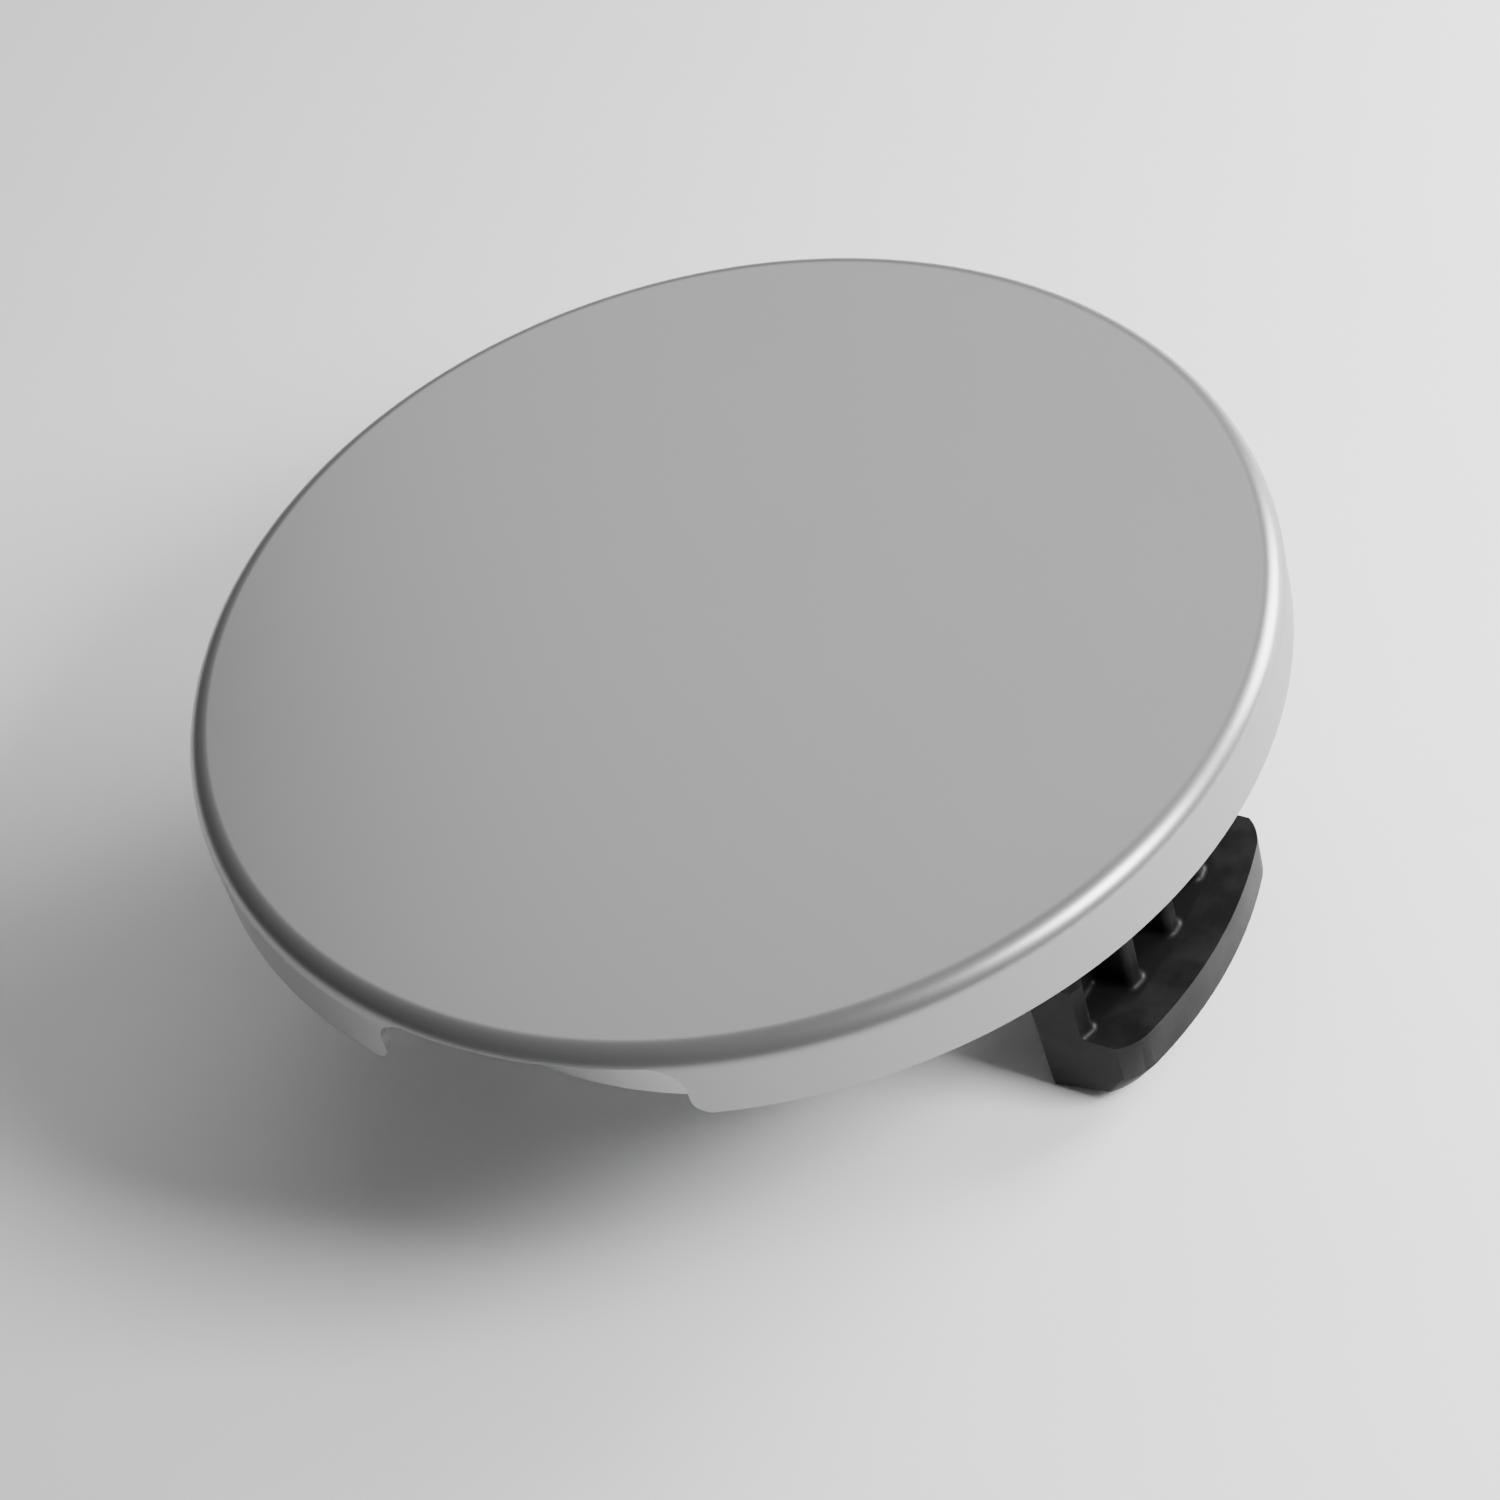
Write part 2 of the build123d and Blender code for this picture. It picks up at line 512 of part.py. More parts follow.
# ---- slides and claws ----
def make_guides():
    """Wear pads and Z-section rails for both slide bars, with their fasteners."""
    pad = bar(PAD_IN, RAIL_OUT, -PAD_W / 2, PAD_W / 2, UNDERSIDE - PAD_T, UNDERSIDE)
    pad = fillet(pad.edges().filter_by(Axis.Z), PAD_CORNER_R)
    inner = SLIDE_HALF + SLIDE_SIDE_GAP
    web = bar(RAIL_IN, RAIL_OUT, inner, inner + RAIL_T, RAIL_BOTTOM, UNDERSIDE)
    lip = bar(RAIL_IN, RAIL_OUT, inner - RAIL_LIP, inner + RAIL_T, RAIL_BOTTOM, RAIL_LIP_TOP)
    foot = bar(RAIL_IN, RAIL_OUT, inner, inner + RAIL_FLANGE, UNDERSIDE - RAIL_T, UNDERSIDE)
    rail = web + lip + foot
    bends = [e for e in rail.edges().filter_by(Axis.X)
             if (abs(e.center().Y - inner - RAIL_T) < NEAR and abs(e.center().Z - RAIL_BOTTOM) < NEAR)
             or (abs(e.center().Y - inner) < NEAR and abs(e.center().Z - UNDERSIDE) < NEAR)]
    rail = fillet(bends, RAIL_BEND_R)
    stud_y = inner + (RAIL_FLANGE + RAIL_T) / 2
    step = (RAIL_OUT - RAIL_IN) / RAIL_STUDS
    spots = [RAIL_IN + step * (i + 0.5) for i in range(RAIL_STUDS)]
    foot_face = UNDERSIDE - RAIL_T
    nut_face = foot_face - NUT_8[0]
    for x in spots:
        rail = rail - rod(RAIL_STUD_D / 2 + STUD_HOLE_GAP, foot_face - BITE, UNDERSIDE + BITE, x, stud_y)
    stud = rod(RAIL_STUD_D / 2, nut_face - STUD_TAIL, UNDERSIDE)
    nut = hex_prism(NUT_8[1], nut_face, foot_face, RAIL_STUD_D)
    other_rail = mirror(rail, Plane.XZ)
    studs = []
    nuts = []
    for side, turn in (("a", 0), ("b", 180)):
        export_part(f"wear_pad_{side}", turned(pad, turn))
        export_part(f"guide_rail_{side}_left", turned(rail, turn))
        export_part(f"guide_rail_{side}_right", turned(other_rail, turn))
        for x in spots:
            for y in (stud_y, -stud_y):
                studs.append(turned(Pos(x, y) * stud, turn))
                nuts.append(turned(Pos(x, y) * nut, turn))
    export_part("rail_studs", group(studs))
    export_part("rail_nuts", group(nuts))


def make_slides():
    """Slide bars, cam pins with their clips, and the screws into the claws."""
    slide = bar(SLIDE_IN, NECK_OUT, -SLIDE_HALF, SLIDE_HALF, SLIDE_BOTTOM, SLIDE_TOP)
    slide = fillet(slide.edges().filter_by(Axis.Z), SLIDE_CORNER_R)
    slide = slide - rod(CAM_PIN_D / 2, SLIDE_BOTTOM - BITE, SLIDE_TOP + BITE, CAM_PIN_R0)
    clip_top = DISC_BOTTOM - CLIP_DROP
    pin = rod(CAM_PIN_D / 2, clip_top - CLIP_T - PIN_TAIL, SLIDE_TOP, CAM_PIN_R0)
    pin = chamfer(pin.edges().group_by(Axis.Z)[0], EDGE_BREAK)
    clip = Pos(CAM_PIN_R0, 0) * ring(CAM_PIN_D / 2 + CLIP_W, CAM_PIN_D / 2, clip_top - CLIP_T, clip_top)
    screws = [claw_screw(y) for y in (-CLAW_BOLT_Y, CLAW_BOLT_Y)]
    slide = slide - screws
    for side, turn in (("a", 0), ("b", 180)):
        export_part(f"slide_bar_{side}", turned(slide, turn))
        export_part(f"cam_pin_{side}", turned(pin, turn))
        export_part(f"pin_clip_{side}", turned(clip, turn))
        export_part(f"claw_screws_{side}", turned(group(screws), turn))


def claw_screw(y):
    """Countersunk screw down through the slide bar into the claw."""
    head_r = CLAW_BOLT_D / 2 + CLAW_HEAD_RIM
    head_h = head_r - CLAW_BOLT_D / 2
    shank = rod(CLAW_BOLT_D / 2, SLIDE_TOP - CLAW_BOLT_L, SLIDE_TOP, CLAW_BOLT_X, y)
    cone = Pos(CLAW_BOLT_X, y, SLIDE_TOP - head_h / 2) * Cone(CLAW_BOLT_D / 2, head_r, head_h)
    return shank + cone


def claw_plan():
    """Plan of the hooked flange before its ends are trimmed."""
    blank = CLAW_HALF_W + CLAW_BLANK
    strip = Pos(WEB_IN_BOTTOM, 0) * Rectangle(CLAW_R, 2 * blank)
    outline = strip & Circle(CLAW_R)
    corners = outline.vertices().group_by(Axis.X)[-1]
    return fillet(corners, CLAW_CORNER_R)


def rib_plan():
    """Plan of the ribs and the web behind them, longer than the trimmed casting."""
    pitch = (2 * CLAW_HALF_W - RIB_W) / (RIBS - 1)
    overrun = CLAW_HALF_W + CLAW_BLANK + 2 * BITE
    rib_l = RIB_R - WEB_IN_TOP
    web = Pos((WEB_IN_TOP + WEB_OUT) / 2, 0) * Rectangle(WEB_OUT - WEB_IN_TOP, 2 * overrun)
    plan = web
    for i in range(RIBS):
        side = -CLAW_HALF_W + pitch * i
        low = -overrun if i == 0 else side
        high = overrun if i == RIBS - 1 else side + RIB_W
        rib = Pos(WEB_IN_TOP + rib_l / 2, (low + high) / 2) * Rectangle(rib_l, high - low)
        plan = plan + (rib & Circle(RIB_R))
    fronts = [v for v in plan.vertices() if v.X > WEB_OUT + BITE and abs(v.Y) < CLAW_HALF_W]
    plan = fillet(fronts, RIB_CORNER_R)
    roots = [v for v in plan.vertices() if abs(v.X - WEB_OUT) < NEAR]
    return fillet(roots, RIB_CORNER_R)


def make_claws():
    """Cast claws: neck, ribbed web and hooked flange in one."""
    plan = claw_plan()
    flange = extrude(Pos(0, 0, -FLANGE_DROP) * plan, FLANGE_DROP - LEDGE_DROP)
    lean = math.radians(TOE_TAPER)
    toe_l = (CLAW_DEPTH - FLANGE_DROP) / math.cos(lean)
    toe = extrude(Pos(0, 0, -FLANGE_DROP) * plan, toe_l, dir=(-math.sin(lean), 0, -math.cos(lean)))
    hook = flange + toe
    upright = extrude(Pos(0, 0, -LEDGE_DROP - BITE) * rib_plan(), LEDGE_DROP - CLAW_TOP + BITE)
    body = hook + upright
    feet = [e for e in body.edges()
            if abs(e.center().Z + LEDGE_DROP) < NEAR and e.center().X > WEB_OUT - BITE
            and math.hypot(e.center().X, e.center().Y) < RIB_R + BITE
            and abs(e.center().Y) < CLAW_HALF_W + CLAW_BLANK - NEAR]
    body = fillet(feet, RIB_FOOT_R)
    beyond = CLAW_R + PLATE_T
    sole_end = -CLAW_DEPTH + math.tan(math.radians(SOLE_RISE)) * (beyond - WEB_IN_BOTTOM)
    keep = Polygon((WEB_IN_TOP, -CLAW_TOP), (WEB_IN_BOTTOM, -CLAW_DEPTH), (beyond, sole_end),
                   (beyond, -CLAW_TOP), align=None)
    keep = extrude(Plane.XZ * keep, CLAW_HALF_W, both=True)
    body = body & keep
    body = fillet([e for e in body.edges() if e.center().Z < -FLANGE_DROP - BITE], CAST_EDGE_R)
    neck = bar(NECK_OUT - NECK_T, NECK_OUT, -NECK_HALF_W, NECK_HALF_W, -CLAW_TOP - BITE, NECK_TOP)
    neck = neck + bar(BLOCK_IN, NECK_OUT, -BLOCK_HALF_W, BLOCK_HALF_W, -BLOCK_HALF_W, SLIDE_BOTTOM)
    body = body + neck - [claw_screw(y) for y in (-CLAW_BOLT_Y, CLAW_BOLT_Y)]
    for side, turn in (("a", 0), ("b", 180)):
        export_part(f"claw_{side}", turned(body, turn))


if __name__ == "__main__":
    export_part("cover_shell", make_cover_shell())
    make_spigot()
    make_spigot_fasteners()
    make_seal()
    make_stiffeners()
    make_gussets()
    make_pivot()
    make_spring()
    make_cam_disc()
    make_lever()
    make_buffers()
    make_guides()
    make_slides()
    make_claws()
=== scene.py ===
"""Looks of a round locking access cover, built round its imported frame.

Every piece stands where the frame says. Lengths are metres, +Z is up and the
two claws lie on the X axis. Classes follow the sub-assemblies a fitter would
name: cover, spigot, seal, under-structure, pivot, cam drive, guides, claws and
fasteners, with a studio of floor, lamps and camera round them.
"""
from __future__ import annotations

import json
import logging
import math
from collections.abc import Callable, Iterable, Sequence
from dataclasses import dataclass, field
from enum import Enum
from functools import partial

import bmesh
import bpy
from mathutils import Matrix, Vector

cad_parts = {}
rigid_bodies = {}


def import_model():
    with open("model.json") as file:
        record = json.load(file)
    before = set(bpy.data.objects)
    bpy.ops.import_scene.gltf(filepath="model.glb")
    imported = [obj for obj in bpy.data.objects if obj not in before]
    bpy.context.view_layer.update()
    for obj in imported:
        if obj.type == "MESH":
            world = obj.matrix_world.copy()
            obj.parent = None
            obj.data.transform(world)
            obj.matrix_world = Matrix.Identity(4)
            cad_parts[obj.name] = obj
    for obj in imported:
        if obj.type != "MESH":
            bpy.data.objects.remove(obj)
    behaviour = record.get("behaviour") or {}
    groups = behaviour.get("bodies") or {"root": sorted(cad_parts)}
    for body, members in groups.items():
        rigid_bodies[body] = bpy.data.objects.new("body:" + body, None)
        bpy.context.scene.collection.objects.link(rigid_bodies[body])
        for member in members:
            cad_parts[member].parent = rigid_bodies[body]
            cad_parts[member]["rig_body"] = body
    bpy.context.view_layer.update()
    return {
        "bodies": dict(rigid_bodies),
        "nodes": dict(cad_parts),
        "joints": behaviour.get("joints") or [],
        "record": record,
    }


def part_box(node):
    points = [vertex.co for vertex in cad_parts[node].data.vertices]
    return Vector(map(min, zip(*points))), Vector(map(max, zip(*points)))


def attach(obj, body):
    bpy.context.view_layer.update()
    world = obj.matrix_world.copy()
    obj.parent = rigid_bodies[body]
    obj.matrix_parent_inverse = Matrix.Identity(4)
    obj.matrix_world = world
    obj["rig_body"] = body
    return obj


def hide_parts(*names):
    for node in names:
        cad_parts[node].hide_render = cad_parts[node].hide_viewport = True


LOG = logging.getLogger("access_cover")
MM = 0.001
TAU = 2 * math.pi
# Meshes: merging distance, longest sliver left by a cut, radius taken as the axis,
# and in degrees the fold taken as flat, the creases and the edges that get rounded.
MERGE = 0.005 * MM
SLIVER = 0.002 * MM
ON_AXIS = 1e-9
COPLANAR = 0.4
CREASE = 32.0
TURNED_CREASE = 40.0
SHARP = 35.0
CUT_SHARP = 50.0
# Finishes: scale and detail of the noises, and the part of each range that marks take up.
NOISE_ROUGHNESS = 0.6
BROAD_NOISE = (7.0, 5.0)
BROAD = (0.3, 0.7)
SPECK = (0.35, 0.75)
SPECK_GAIN = 2.5
SPECK_SHADE = 0.6
GLOSS_SPREAD = 0.08
RUBBED = (0.505, 0.56)
PATCH_NOISE = (38.0, 6.0)
PATCH = (0.4, 0.62)
BUMP_STRENGTH = 0.5
# Weld beads: steps in a ripple, sides of the section, and the ripple in bead radii.
BEAD_STEP = 0.25
BEAD_SIDES = 7
RIPPLE_HEIGHT = 0.28
RIPPLE_FOOT = 0.82
Point = tuple[float, float]
Colour = tuple[float, float, float]


# ---------------------------------------------------------------- finishes
class Grain(Enum):
    """A finish's surface marks: the scale, detail and stretch of their noise."""

    BLASTED = (900.0, 3.0, (1.0, 1.0, 1.0))
    ROLLED = (60.0, 6.0, (1.0, 7.0, 2.0))
    GROUND = (260.0, 3.0, (0.15, 6.0, 1.0))
    CAST = (420.0, 5.0, (1.0, 1.0, 1.0))
    PLATED = (320.0, 2.0, (1.0, 1.0, 1.0))
    MOULDED = (700.0, 2.0, (1.0, 1.0, 1.0))


class NodeTree:
    """A node tree that is built one node at a time."""

    def __init__(self, tree: bpy.types.NodeTree) -> None:
        """Take the tree that the nodes go into."""
        self.tree = tree

    def add(self, kind: str, **settings: object) -> bpy.types.Node:
        """Add a node and set its properties.

        Args:
            kind: Blender's node type.
            settings: property names and values.

        Returns:
            The new node.
        """
        node = self.tree.nodes.new(kind)
        for key, value in settings.items():
            setattr(node, key, value)
        return node

    def link(self, source: bpy.types.NodeSocket, target: bpy.types.NodeSocket) -> None:
        """Join two sockets."""
        self.tree.links.new(source, target)

    def calc(self, operation: str, *values: object) -> bpy.types.NodeSocket:
        """Add a math node.

        Args:
            operation: Blender's name for it.
            values: its inputs, each a number or a socket.

        Returns:
            The result socket.
        """
        node = self.add("ShaderNodeMath", operation=operation)
        for socket, value in zip(node.inputs, values):
            if isinstance(value, bpy.types.NodeSocket):
                self.link(value, socket)
            else:
                socket.default_value = value
        return node.outputs["Value"]


class NodeCanvas(NodeTree):
    """A material's shader tree."""

    def __init__(self, name: str) -> None:
        """Start an empty material tree with its output."""
        self.material = bpy.data.materials.new(name)
        self.material.use_nodes = True
        super().__init__(self.material.node_tree)
        self.tree.nodes.clear()
        self.output = self.add("ShaderNodeOutputMaterial")

    def noise(self, scale: float, detail: float, stretch: Colour = (1, 1, 1)) -> bpy.types.NodeSocket:
        """Add noise on object coordinates.

        Args:
            scale: noise scale per metre.
            detail: octaves.
            stretch: scale along each axis.

        Returns:
            The factor socket.
        """
        place = self.add("ShaderNodeTexCoord")
        mapping = self.add("ShaderNodeMapping")
        mapping.inputs["Scale"].default_value = stretch
        self.link(place.outputs["Object"], mapping.inputs["Vector"])
        noise = self.add("ShaderNodeTexNoise")
        noise.inputs["Scale"].default_value = scale
        noise.inputs["Detail"].default_value = detail
        noise.inputs["Roughness"].default_value = NOISE_ROUGHNESS
        self.link(mapping.outputs["Vector"], noise.inputs["Vector"])
        return noise.outputs["Fac"]

    def span(self, value: bpy.types.NodeSocket, start: Point,
             end: Point = (0.0, 1.0)) -> bpy.types.NodeSocket:
        """Map a value from one range to another, clamped.

        Args:
            value: the socket to map.
            start: the range that it comes from.
            end: the range that it goes to.

        Returns:
            The mapped socket.
        """
        node = self.add("ShaderNodeMapRange")
        for name, number in zip(("From Min", "From Max", "To Min", "To Max"), (*start, *end)):
            node.inputs[name].default_value = number
        self.link(value, node.inputs["Value"])
        return node.outputs["Result"]

    def blend(self, factor: bpy.types.NodeSocket, one: object, two: object) -> bpy.types.NodeSocket:
        """Blend two colours, each a colour or a socket.

        Args:
            factor: how much of the second.
            one: the first colour.
            two: the second colour.

        Returns:
            The blended colour socket.
        """
        node = self.add("ShaderNodeMix", data_type="RGBA")
        self.link(factor, node.inputs["Factor"])
        for socket, value in ((node.inputs[6], one), (node.inputs[7], two)):
            if isinstance(value, bpy.types.NodeSocket):
                self.link(value, socket)
            else:
                socket.default_value = (*value, 1.0)
        return node.outputs[2]


@dataclass(frozen=True)
class Finish:
    """One finish: its colour, gloss, surface marks and wear."""

    name: str
    slot: str
    tint: Colour
    metallic: float
    roughness: float
    grain: Grain
    relief: float
    mottle: float = 0.08
    wear: float = 0.0
    wear_tint: Colour = (0.62, 0.61, 0.60)
    shine: float = 0.5

    def material(self) -> bpy.types.Material:
        """The material of this finish, built once.

        Returns:
            The material.
        """
        found = bpy.data.materials.get(self.name)
        if found is not None:
            return found
        canvas = NodeCanvas(self.name)
        shader = canvas.add("ShaderNodeBsdfPrincipled")
        shader.inputs["Metallic"].default_value = self.metallic
        shader.inputs["Specular IOR Level"].default_value = self.shine
        canvas.link(shader.outputs["BSDF"], canvas.output.inputs["Surface"])
        broad = canvas.noise(*BROAD_NOISE)
        fine = canvas.noise(*self.grain.value)
        dark = tuple(c * (1 - self.mottle) for c in self.tint)
        light = tuple(min(1.0, c * (1 + self.mottle)) for c in self.tint)
        colour = canvas.blend(canvas.span(broad, BROAD), dark, light)
        speck = canvas.span(fine, SPECK, (0.0, self.mottle * SPECK_GAIN))
        colour = canvas.blend(speck, colour, tuple(c * SPECK_SHADE for c in self.tint))
        spread = min(GLOSS_SPREAD, self.mottle / 2)
        gloss = canvas.span(broad, BROAD, (self.roughness - spread, self.roughness + spread))
        if self.wear > 0:
            edge = canvas.add("ShaderNodeNewGeometry").outputs["Pointiness"]
            rubbed = canvas.span(edge, RUBBED, (0.0, self.wear))
            patchy = canvas.span(canvas.noise(*PATCH_NOISE), PATCH)
            rubbed = canvas.calc("MULTIPLY", rubbed, patchy)
            colour = canvas.blend(rubbed, colour, self.wear_tint)
        canvas.link(colour, shader.inputs["Base Color"])
        canvas.link(gloss, shader.inputs["Roughness"])
        bump = canvas.add("ShaderNodeBump")
        bump.inputs["Strength"].default_value = BUMP_STRENGTH
        bump.inputs["Distance"].default_value = self.relief
        canvas.link(fine, bump.inputs["Height"])
        canvas.link(bump.outputs["Normal"], shader.inputs["Normal"])
        return canvas.material


COVER_STEEL = Finish("satin_cover_steel", "cover_steel", (0.30, 0.30, 0.30), 0.8, 0.33, Grain.BLASTED,
                     0.05 * MM, mottle=0.02, wear=0.2, wear_tint=(0.42, 0.42, 0.42))
SPIGOT_STEEL = Finish("rolled_spigot_steel", "spigot_steel", (0.52, 0.52, 0.52), 0.8, 0.32, Grain.ROLLED,
                      0.08 * MM, mottle=0.06, wear=0.3)
PLATE_STEEL = Finish("mill_plate_steel", "bare_steel_plate", (0.21, 0.215, 0.225), 0.75, 0.48, Grain.ROLLED,
                     0.12 * MM, mottle=0.16, wear=0.6)
GROUND_STEEL = Finish("ground_steel", "ground_steel", (0.50, 0.50, 0.51), 0.95, 0.28, Grain.GROUND,
                      0.05 * MM, mottle=0.06, wear=0.3)
SPRING_STEEL = Finish("oiled_spring_steel", "spring_steel", (0.035, 0.036, 0.040), 0.6, 0.36, Grain.GROUND,
                      0.04 * MM, mottle=0.2, wear=0.5)
ZINC = Finish("bright_zinc", "zinc_fastener", (0.56, 0.57, 0.55), 0.9, 0.3, Grain.PLATED,
              0.05 * MM, mottle=0.1, wear=0.2, wear_tint=(0.75, 0.75, 0.74))
STAINLESS = Finish("stainless_strap", "stainless", (0.60, 0.60, 0.59), 0.95, 0.22, Grain.GROUND,
                   0.03 * MM, mottle=0.04, wear=0.2)
BRONZE = Finish("sintered_bronze", "bronze", (0.42, 0.26, 0.11), 0.9, 0.42, Grain.CAST,
                0.06 * MM, mottle=0.15, wear=0.3, wear_tint=(0.66, 0.46, 0.24))
NYLON = Finish("natural_nylon", "nylon", (0.72, 0.70, 0.62), 0.0, 0.45, Grain.MOULDED,
               0.04 * MM, mottle=0.05)
VINYL = Finish("dipped_grip_vinyl", "grip_vinyl", (0.045, 0.045, 0.047), 0.0, 0.5, Grain.MOULDED,
               0.05 * MM, mottle=0.12)
RUBBER = Finish("matte_black_rubber", "black_rubber", (0.022, 0.022, 0.023), 0.0, 0.68, Grain.MOULDED,
                0.08 * MM, mottle=0.2)
CASTING = Finish("black_coated_casting", "black_casting", (0.0055, 0.0055, 0.006), 0.0, 0.42, Grain.CAST,
                 0.10 * MM, mottle=0.05, wear=0.35, wear_tint=(0.025, 0.025, 0.026), shine=0.12)
WELD = Finish("weld_metal", "bare_steel_plate", (0.30, 0.29, 0.28), 0.85, 0.35, Grain.PLATED,
              0.05 * MM, mottle=0.25, wear=0.3)


# ---------------------------------------------------------------- mesh tools
def stand(name: str, data: bpy.types.ID) -> bpy.types.Object:
    """Put a new object in the scene.

    Args:
        name: its name.
        data: its mesh, lamp or camera.

    Returns:
        The object.
    """
    item = bpy.data.objects.new(name, data)
    bpy.context.scene.collection.objects.link(item)
    return item


def evaluated_mesh(item: bpy.types.Object) -> bpy.types.Mesh:
    """Run an object's modifiers into a new mesh.

    Args:
        item: the object.

    Returns:
        The mesh.
    """
    bpy.context.view_layer.update()
    graph = bpy.context.evaluated_depsgraph_get()
    return bpy.data.meshes.new_from_object(item.evaluated_get(graph))


def object_from(name: str, mesh: bpy.types.Mesh, finish: Finish) -> bpy.types.Object:
    """Put a mesh in the scene with its finish.

    Args:
        name: the piece's name.
        mesh: its mesh, already in place.
        finish: what it is dressed in.

    Returns:
        The new object.
    """
    mesh.name = name
    piece = stand(name, mesh)
    mesh.materials.clear()
    mesh.materials.append(finish.material())
    return piece


def settle(piece: bpy.types.Object, body: str, finish: Finish, *nodes: str) -> None:
    """Tie a finished piece to its body, hide the nodes it stands for, and report it.

    Args:
        piece: the finished piece.
        body: the body it rides on.
        finish: not used.
        nodes: the frame nodes that it replaces.
    """
    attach(piece, body)
    if nodes:
        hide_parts(*nodes)
    LOG.info("%s rides on %s, %d faces", piece.name, body, len(piece.data.polygons))


def bevel_sharp(work: bmesh.types.BMesh, width: float, segments: int = 2,
                sharper_than: float = SHARP) -> None:
    """Round the edges that are sharper than an angle.

    Args:
        work: the mesh.
        width: bevel width.
        segments: faces across the bevel.
        sharper_than: degrees.
    """
    limit = math.radians(sharper_than)
    sharp = [e for e in work.edges if len(e.link_faces) == 2 and e.calc_face_angle(0.0) > limit]
    if sharp:
        bmesh.ops.bevel(work, geom=sharp, offset=width, offset_type="OFFSET", segments=segments,
                        profile=0.5, affect="EDGES", clamp_overlap=True)


def mesh_from(work: bmesh.types.BMesh, crease: float = CREASE) -> bpy.types.Mesh:
    """Finish a working mesh: smooth, with creases.

    Args:
        work: the mesh, which is freed.
        crease: degrees.

    Returns:
        The plain mesh.
    """
    limit = math.radians(crease)
    for face in work.faces:
        face.smooth = True
    for edge in work.edges:
        edge.smooth = len(edge.link_faces) == 2 and edge.calc_face_angle(0.0) < limit
    mesh = bpy.data.meshes.new("piece")
    work.to_mesh(mesh)
    work.free()
    return mesh


def even_shading(piece: bpy.types.Object) -> bpy.types.Object:
    """Weight a piece's normals by face area, so that broad faces look flat up to their rounded edges.

    Args:
        piece: the piece, whose mesh is replaced.

    Returns:
        The same piece.
    """
    step = piece.modifiers.new("even_shading", "WEIGHTED_NORMAL")
    step.keep_sharp = True
    mesh = evaluated_mesh(piece)
    piece.modifiers.remove(step)
    piece.data = mesh
    mesh.name = piece.name
    return piece


def softened_node(frame: dict, node: str, finish: Finish, width: float, segments: int = 2) -> None:
    """Replace a frame node by its copy with merged tessellation and rounded edges.

    Args:
        frame: the loaded frame.
        node: the node's name.
        finish: its finish.
        width: edge rounding.
        segments: faces across the rounding.
    """
    source = frame["nodes"][node]
    work = bmesh.new()
    work.from_mesh(source.data)
    bmesh.ops.remove_doubles(work, verts=work.verts, dist=MERGE)
    bmesh.ops.dissolve_limit(work, angle_limit=math.radians(COPLANAR), verts=work.verts, edges=work.edges)
    if width > 0:
        bevel_sharp(work, width, segments)
    piece = even_shading(object_from(f"{node}_piece", mesh_from(work), finish))
    settle(piece, source["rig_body"], finish, node)


def lathe(profile: Sequence[Point], segments: int) -> bmesh.types.BMesh:
    """Turn a closed outline about the Z axis.

    Args:
        profile: radius and height of each corner, anticlockwise seen along +Y.
        segments: steps round the axis.

    Returns:
        The closed working mesh.
    """
    work = bmesh.new()
    rings = []
    for radius, height in profile:
        if radius < ON_AXIS:
            rings.append([work.verts.new((0, 0, height))])
            continue
        rings.append([work.verts.new((radius * math.cos(TAU * i / segments),
                                      radius * math.sin(TAU * i / segments), height))
                      for i in range(segments)])
    for here, there in zip(rings, rings[1:] + rings[:1]):
        if len(here) == 1 and len(there) == 1:
            continue
        for i in range(segments):
            j = (i + 1) % segments
            corners = [here[i % len(here)], here[j % len(here)], there[j % len(there)], there[i % len(there)]]
            work.faces.new(list(dict.fromkeys(corners)))
    bmesh.ops.recalc_face_normals(work, faces=work.faces)
    return work


def arc(centre: Point, radius: float, start: float, end: float, steps: int) -> list[Point]:
    """Points on an arc.

    Args:
        centre: the arc's centre.
        radius: its radius.
        start: first angle in degrees.
        end: last angle in degrees.
        steps: number of steps.

    Returns:
        The points, both ends included.
    """
    angles = [math.radians(start + (end - start) * i / steps) for i in range(steps + 1)]
    return [(centre[0] + radius * math.cos(a), centre[1] + radius * math.sin(a)) for a in angles]


def rounded_section(r0: float, r1: float, z0: float, z1: float, corner: float, steps: int) -> list[Point]:
    """Outline of a ring's section with all corners rounded.

    Args:
        r0: inner radius.
        r1: outer radius.
        z0: lower height.
        z1: upper height.
        corner: corner radius.
        steps: steps in each corner.

    Returns:
        The outline.
    """
    corners = ((r1 - corner, z0 + corner, -90.0), (r1 - corner, z1 - corner, 0.0),
               (r0 + corner, z1 - corner, 90.0), (r0 + corner, z0 + corner, 180.0))
    outline: list[Point] = []
    for radius, height, start in corners:
        outline += arc((radius, height), corner, start, start + 90.0, steps)
    return outline


def prism(outline: Sequence[Point], depth: float) -> bmesh.types.BMesh:
    """Raise a flat outline along +Z.

    Args:
        outline: corners in the XY plane.
        depth: height of the prism.

    Returns:
        The closed working mesh.
    """
    work = bmesh.new()
    low = [work.verts.new((x, y, 0)) for x, y in outline]
    high = [work.verts.new((x, y, depth)) for x, y in outline]
    work.faces.new(list(reversed(low)))
    work.faces.new(high)
    for i in range(len(outline)):
        j = (i + 1) % len(outline)
        work.faces.new((low[i], low[j], high[j], high[i]))
    bmesh.ops.recalc_face_normals(work, faces=work.faces)
    return work


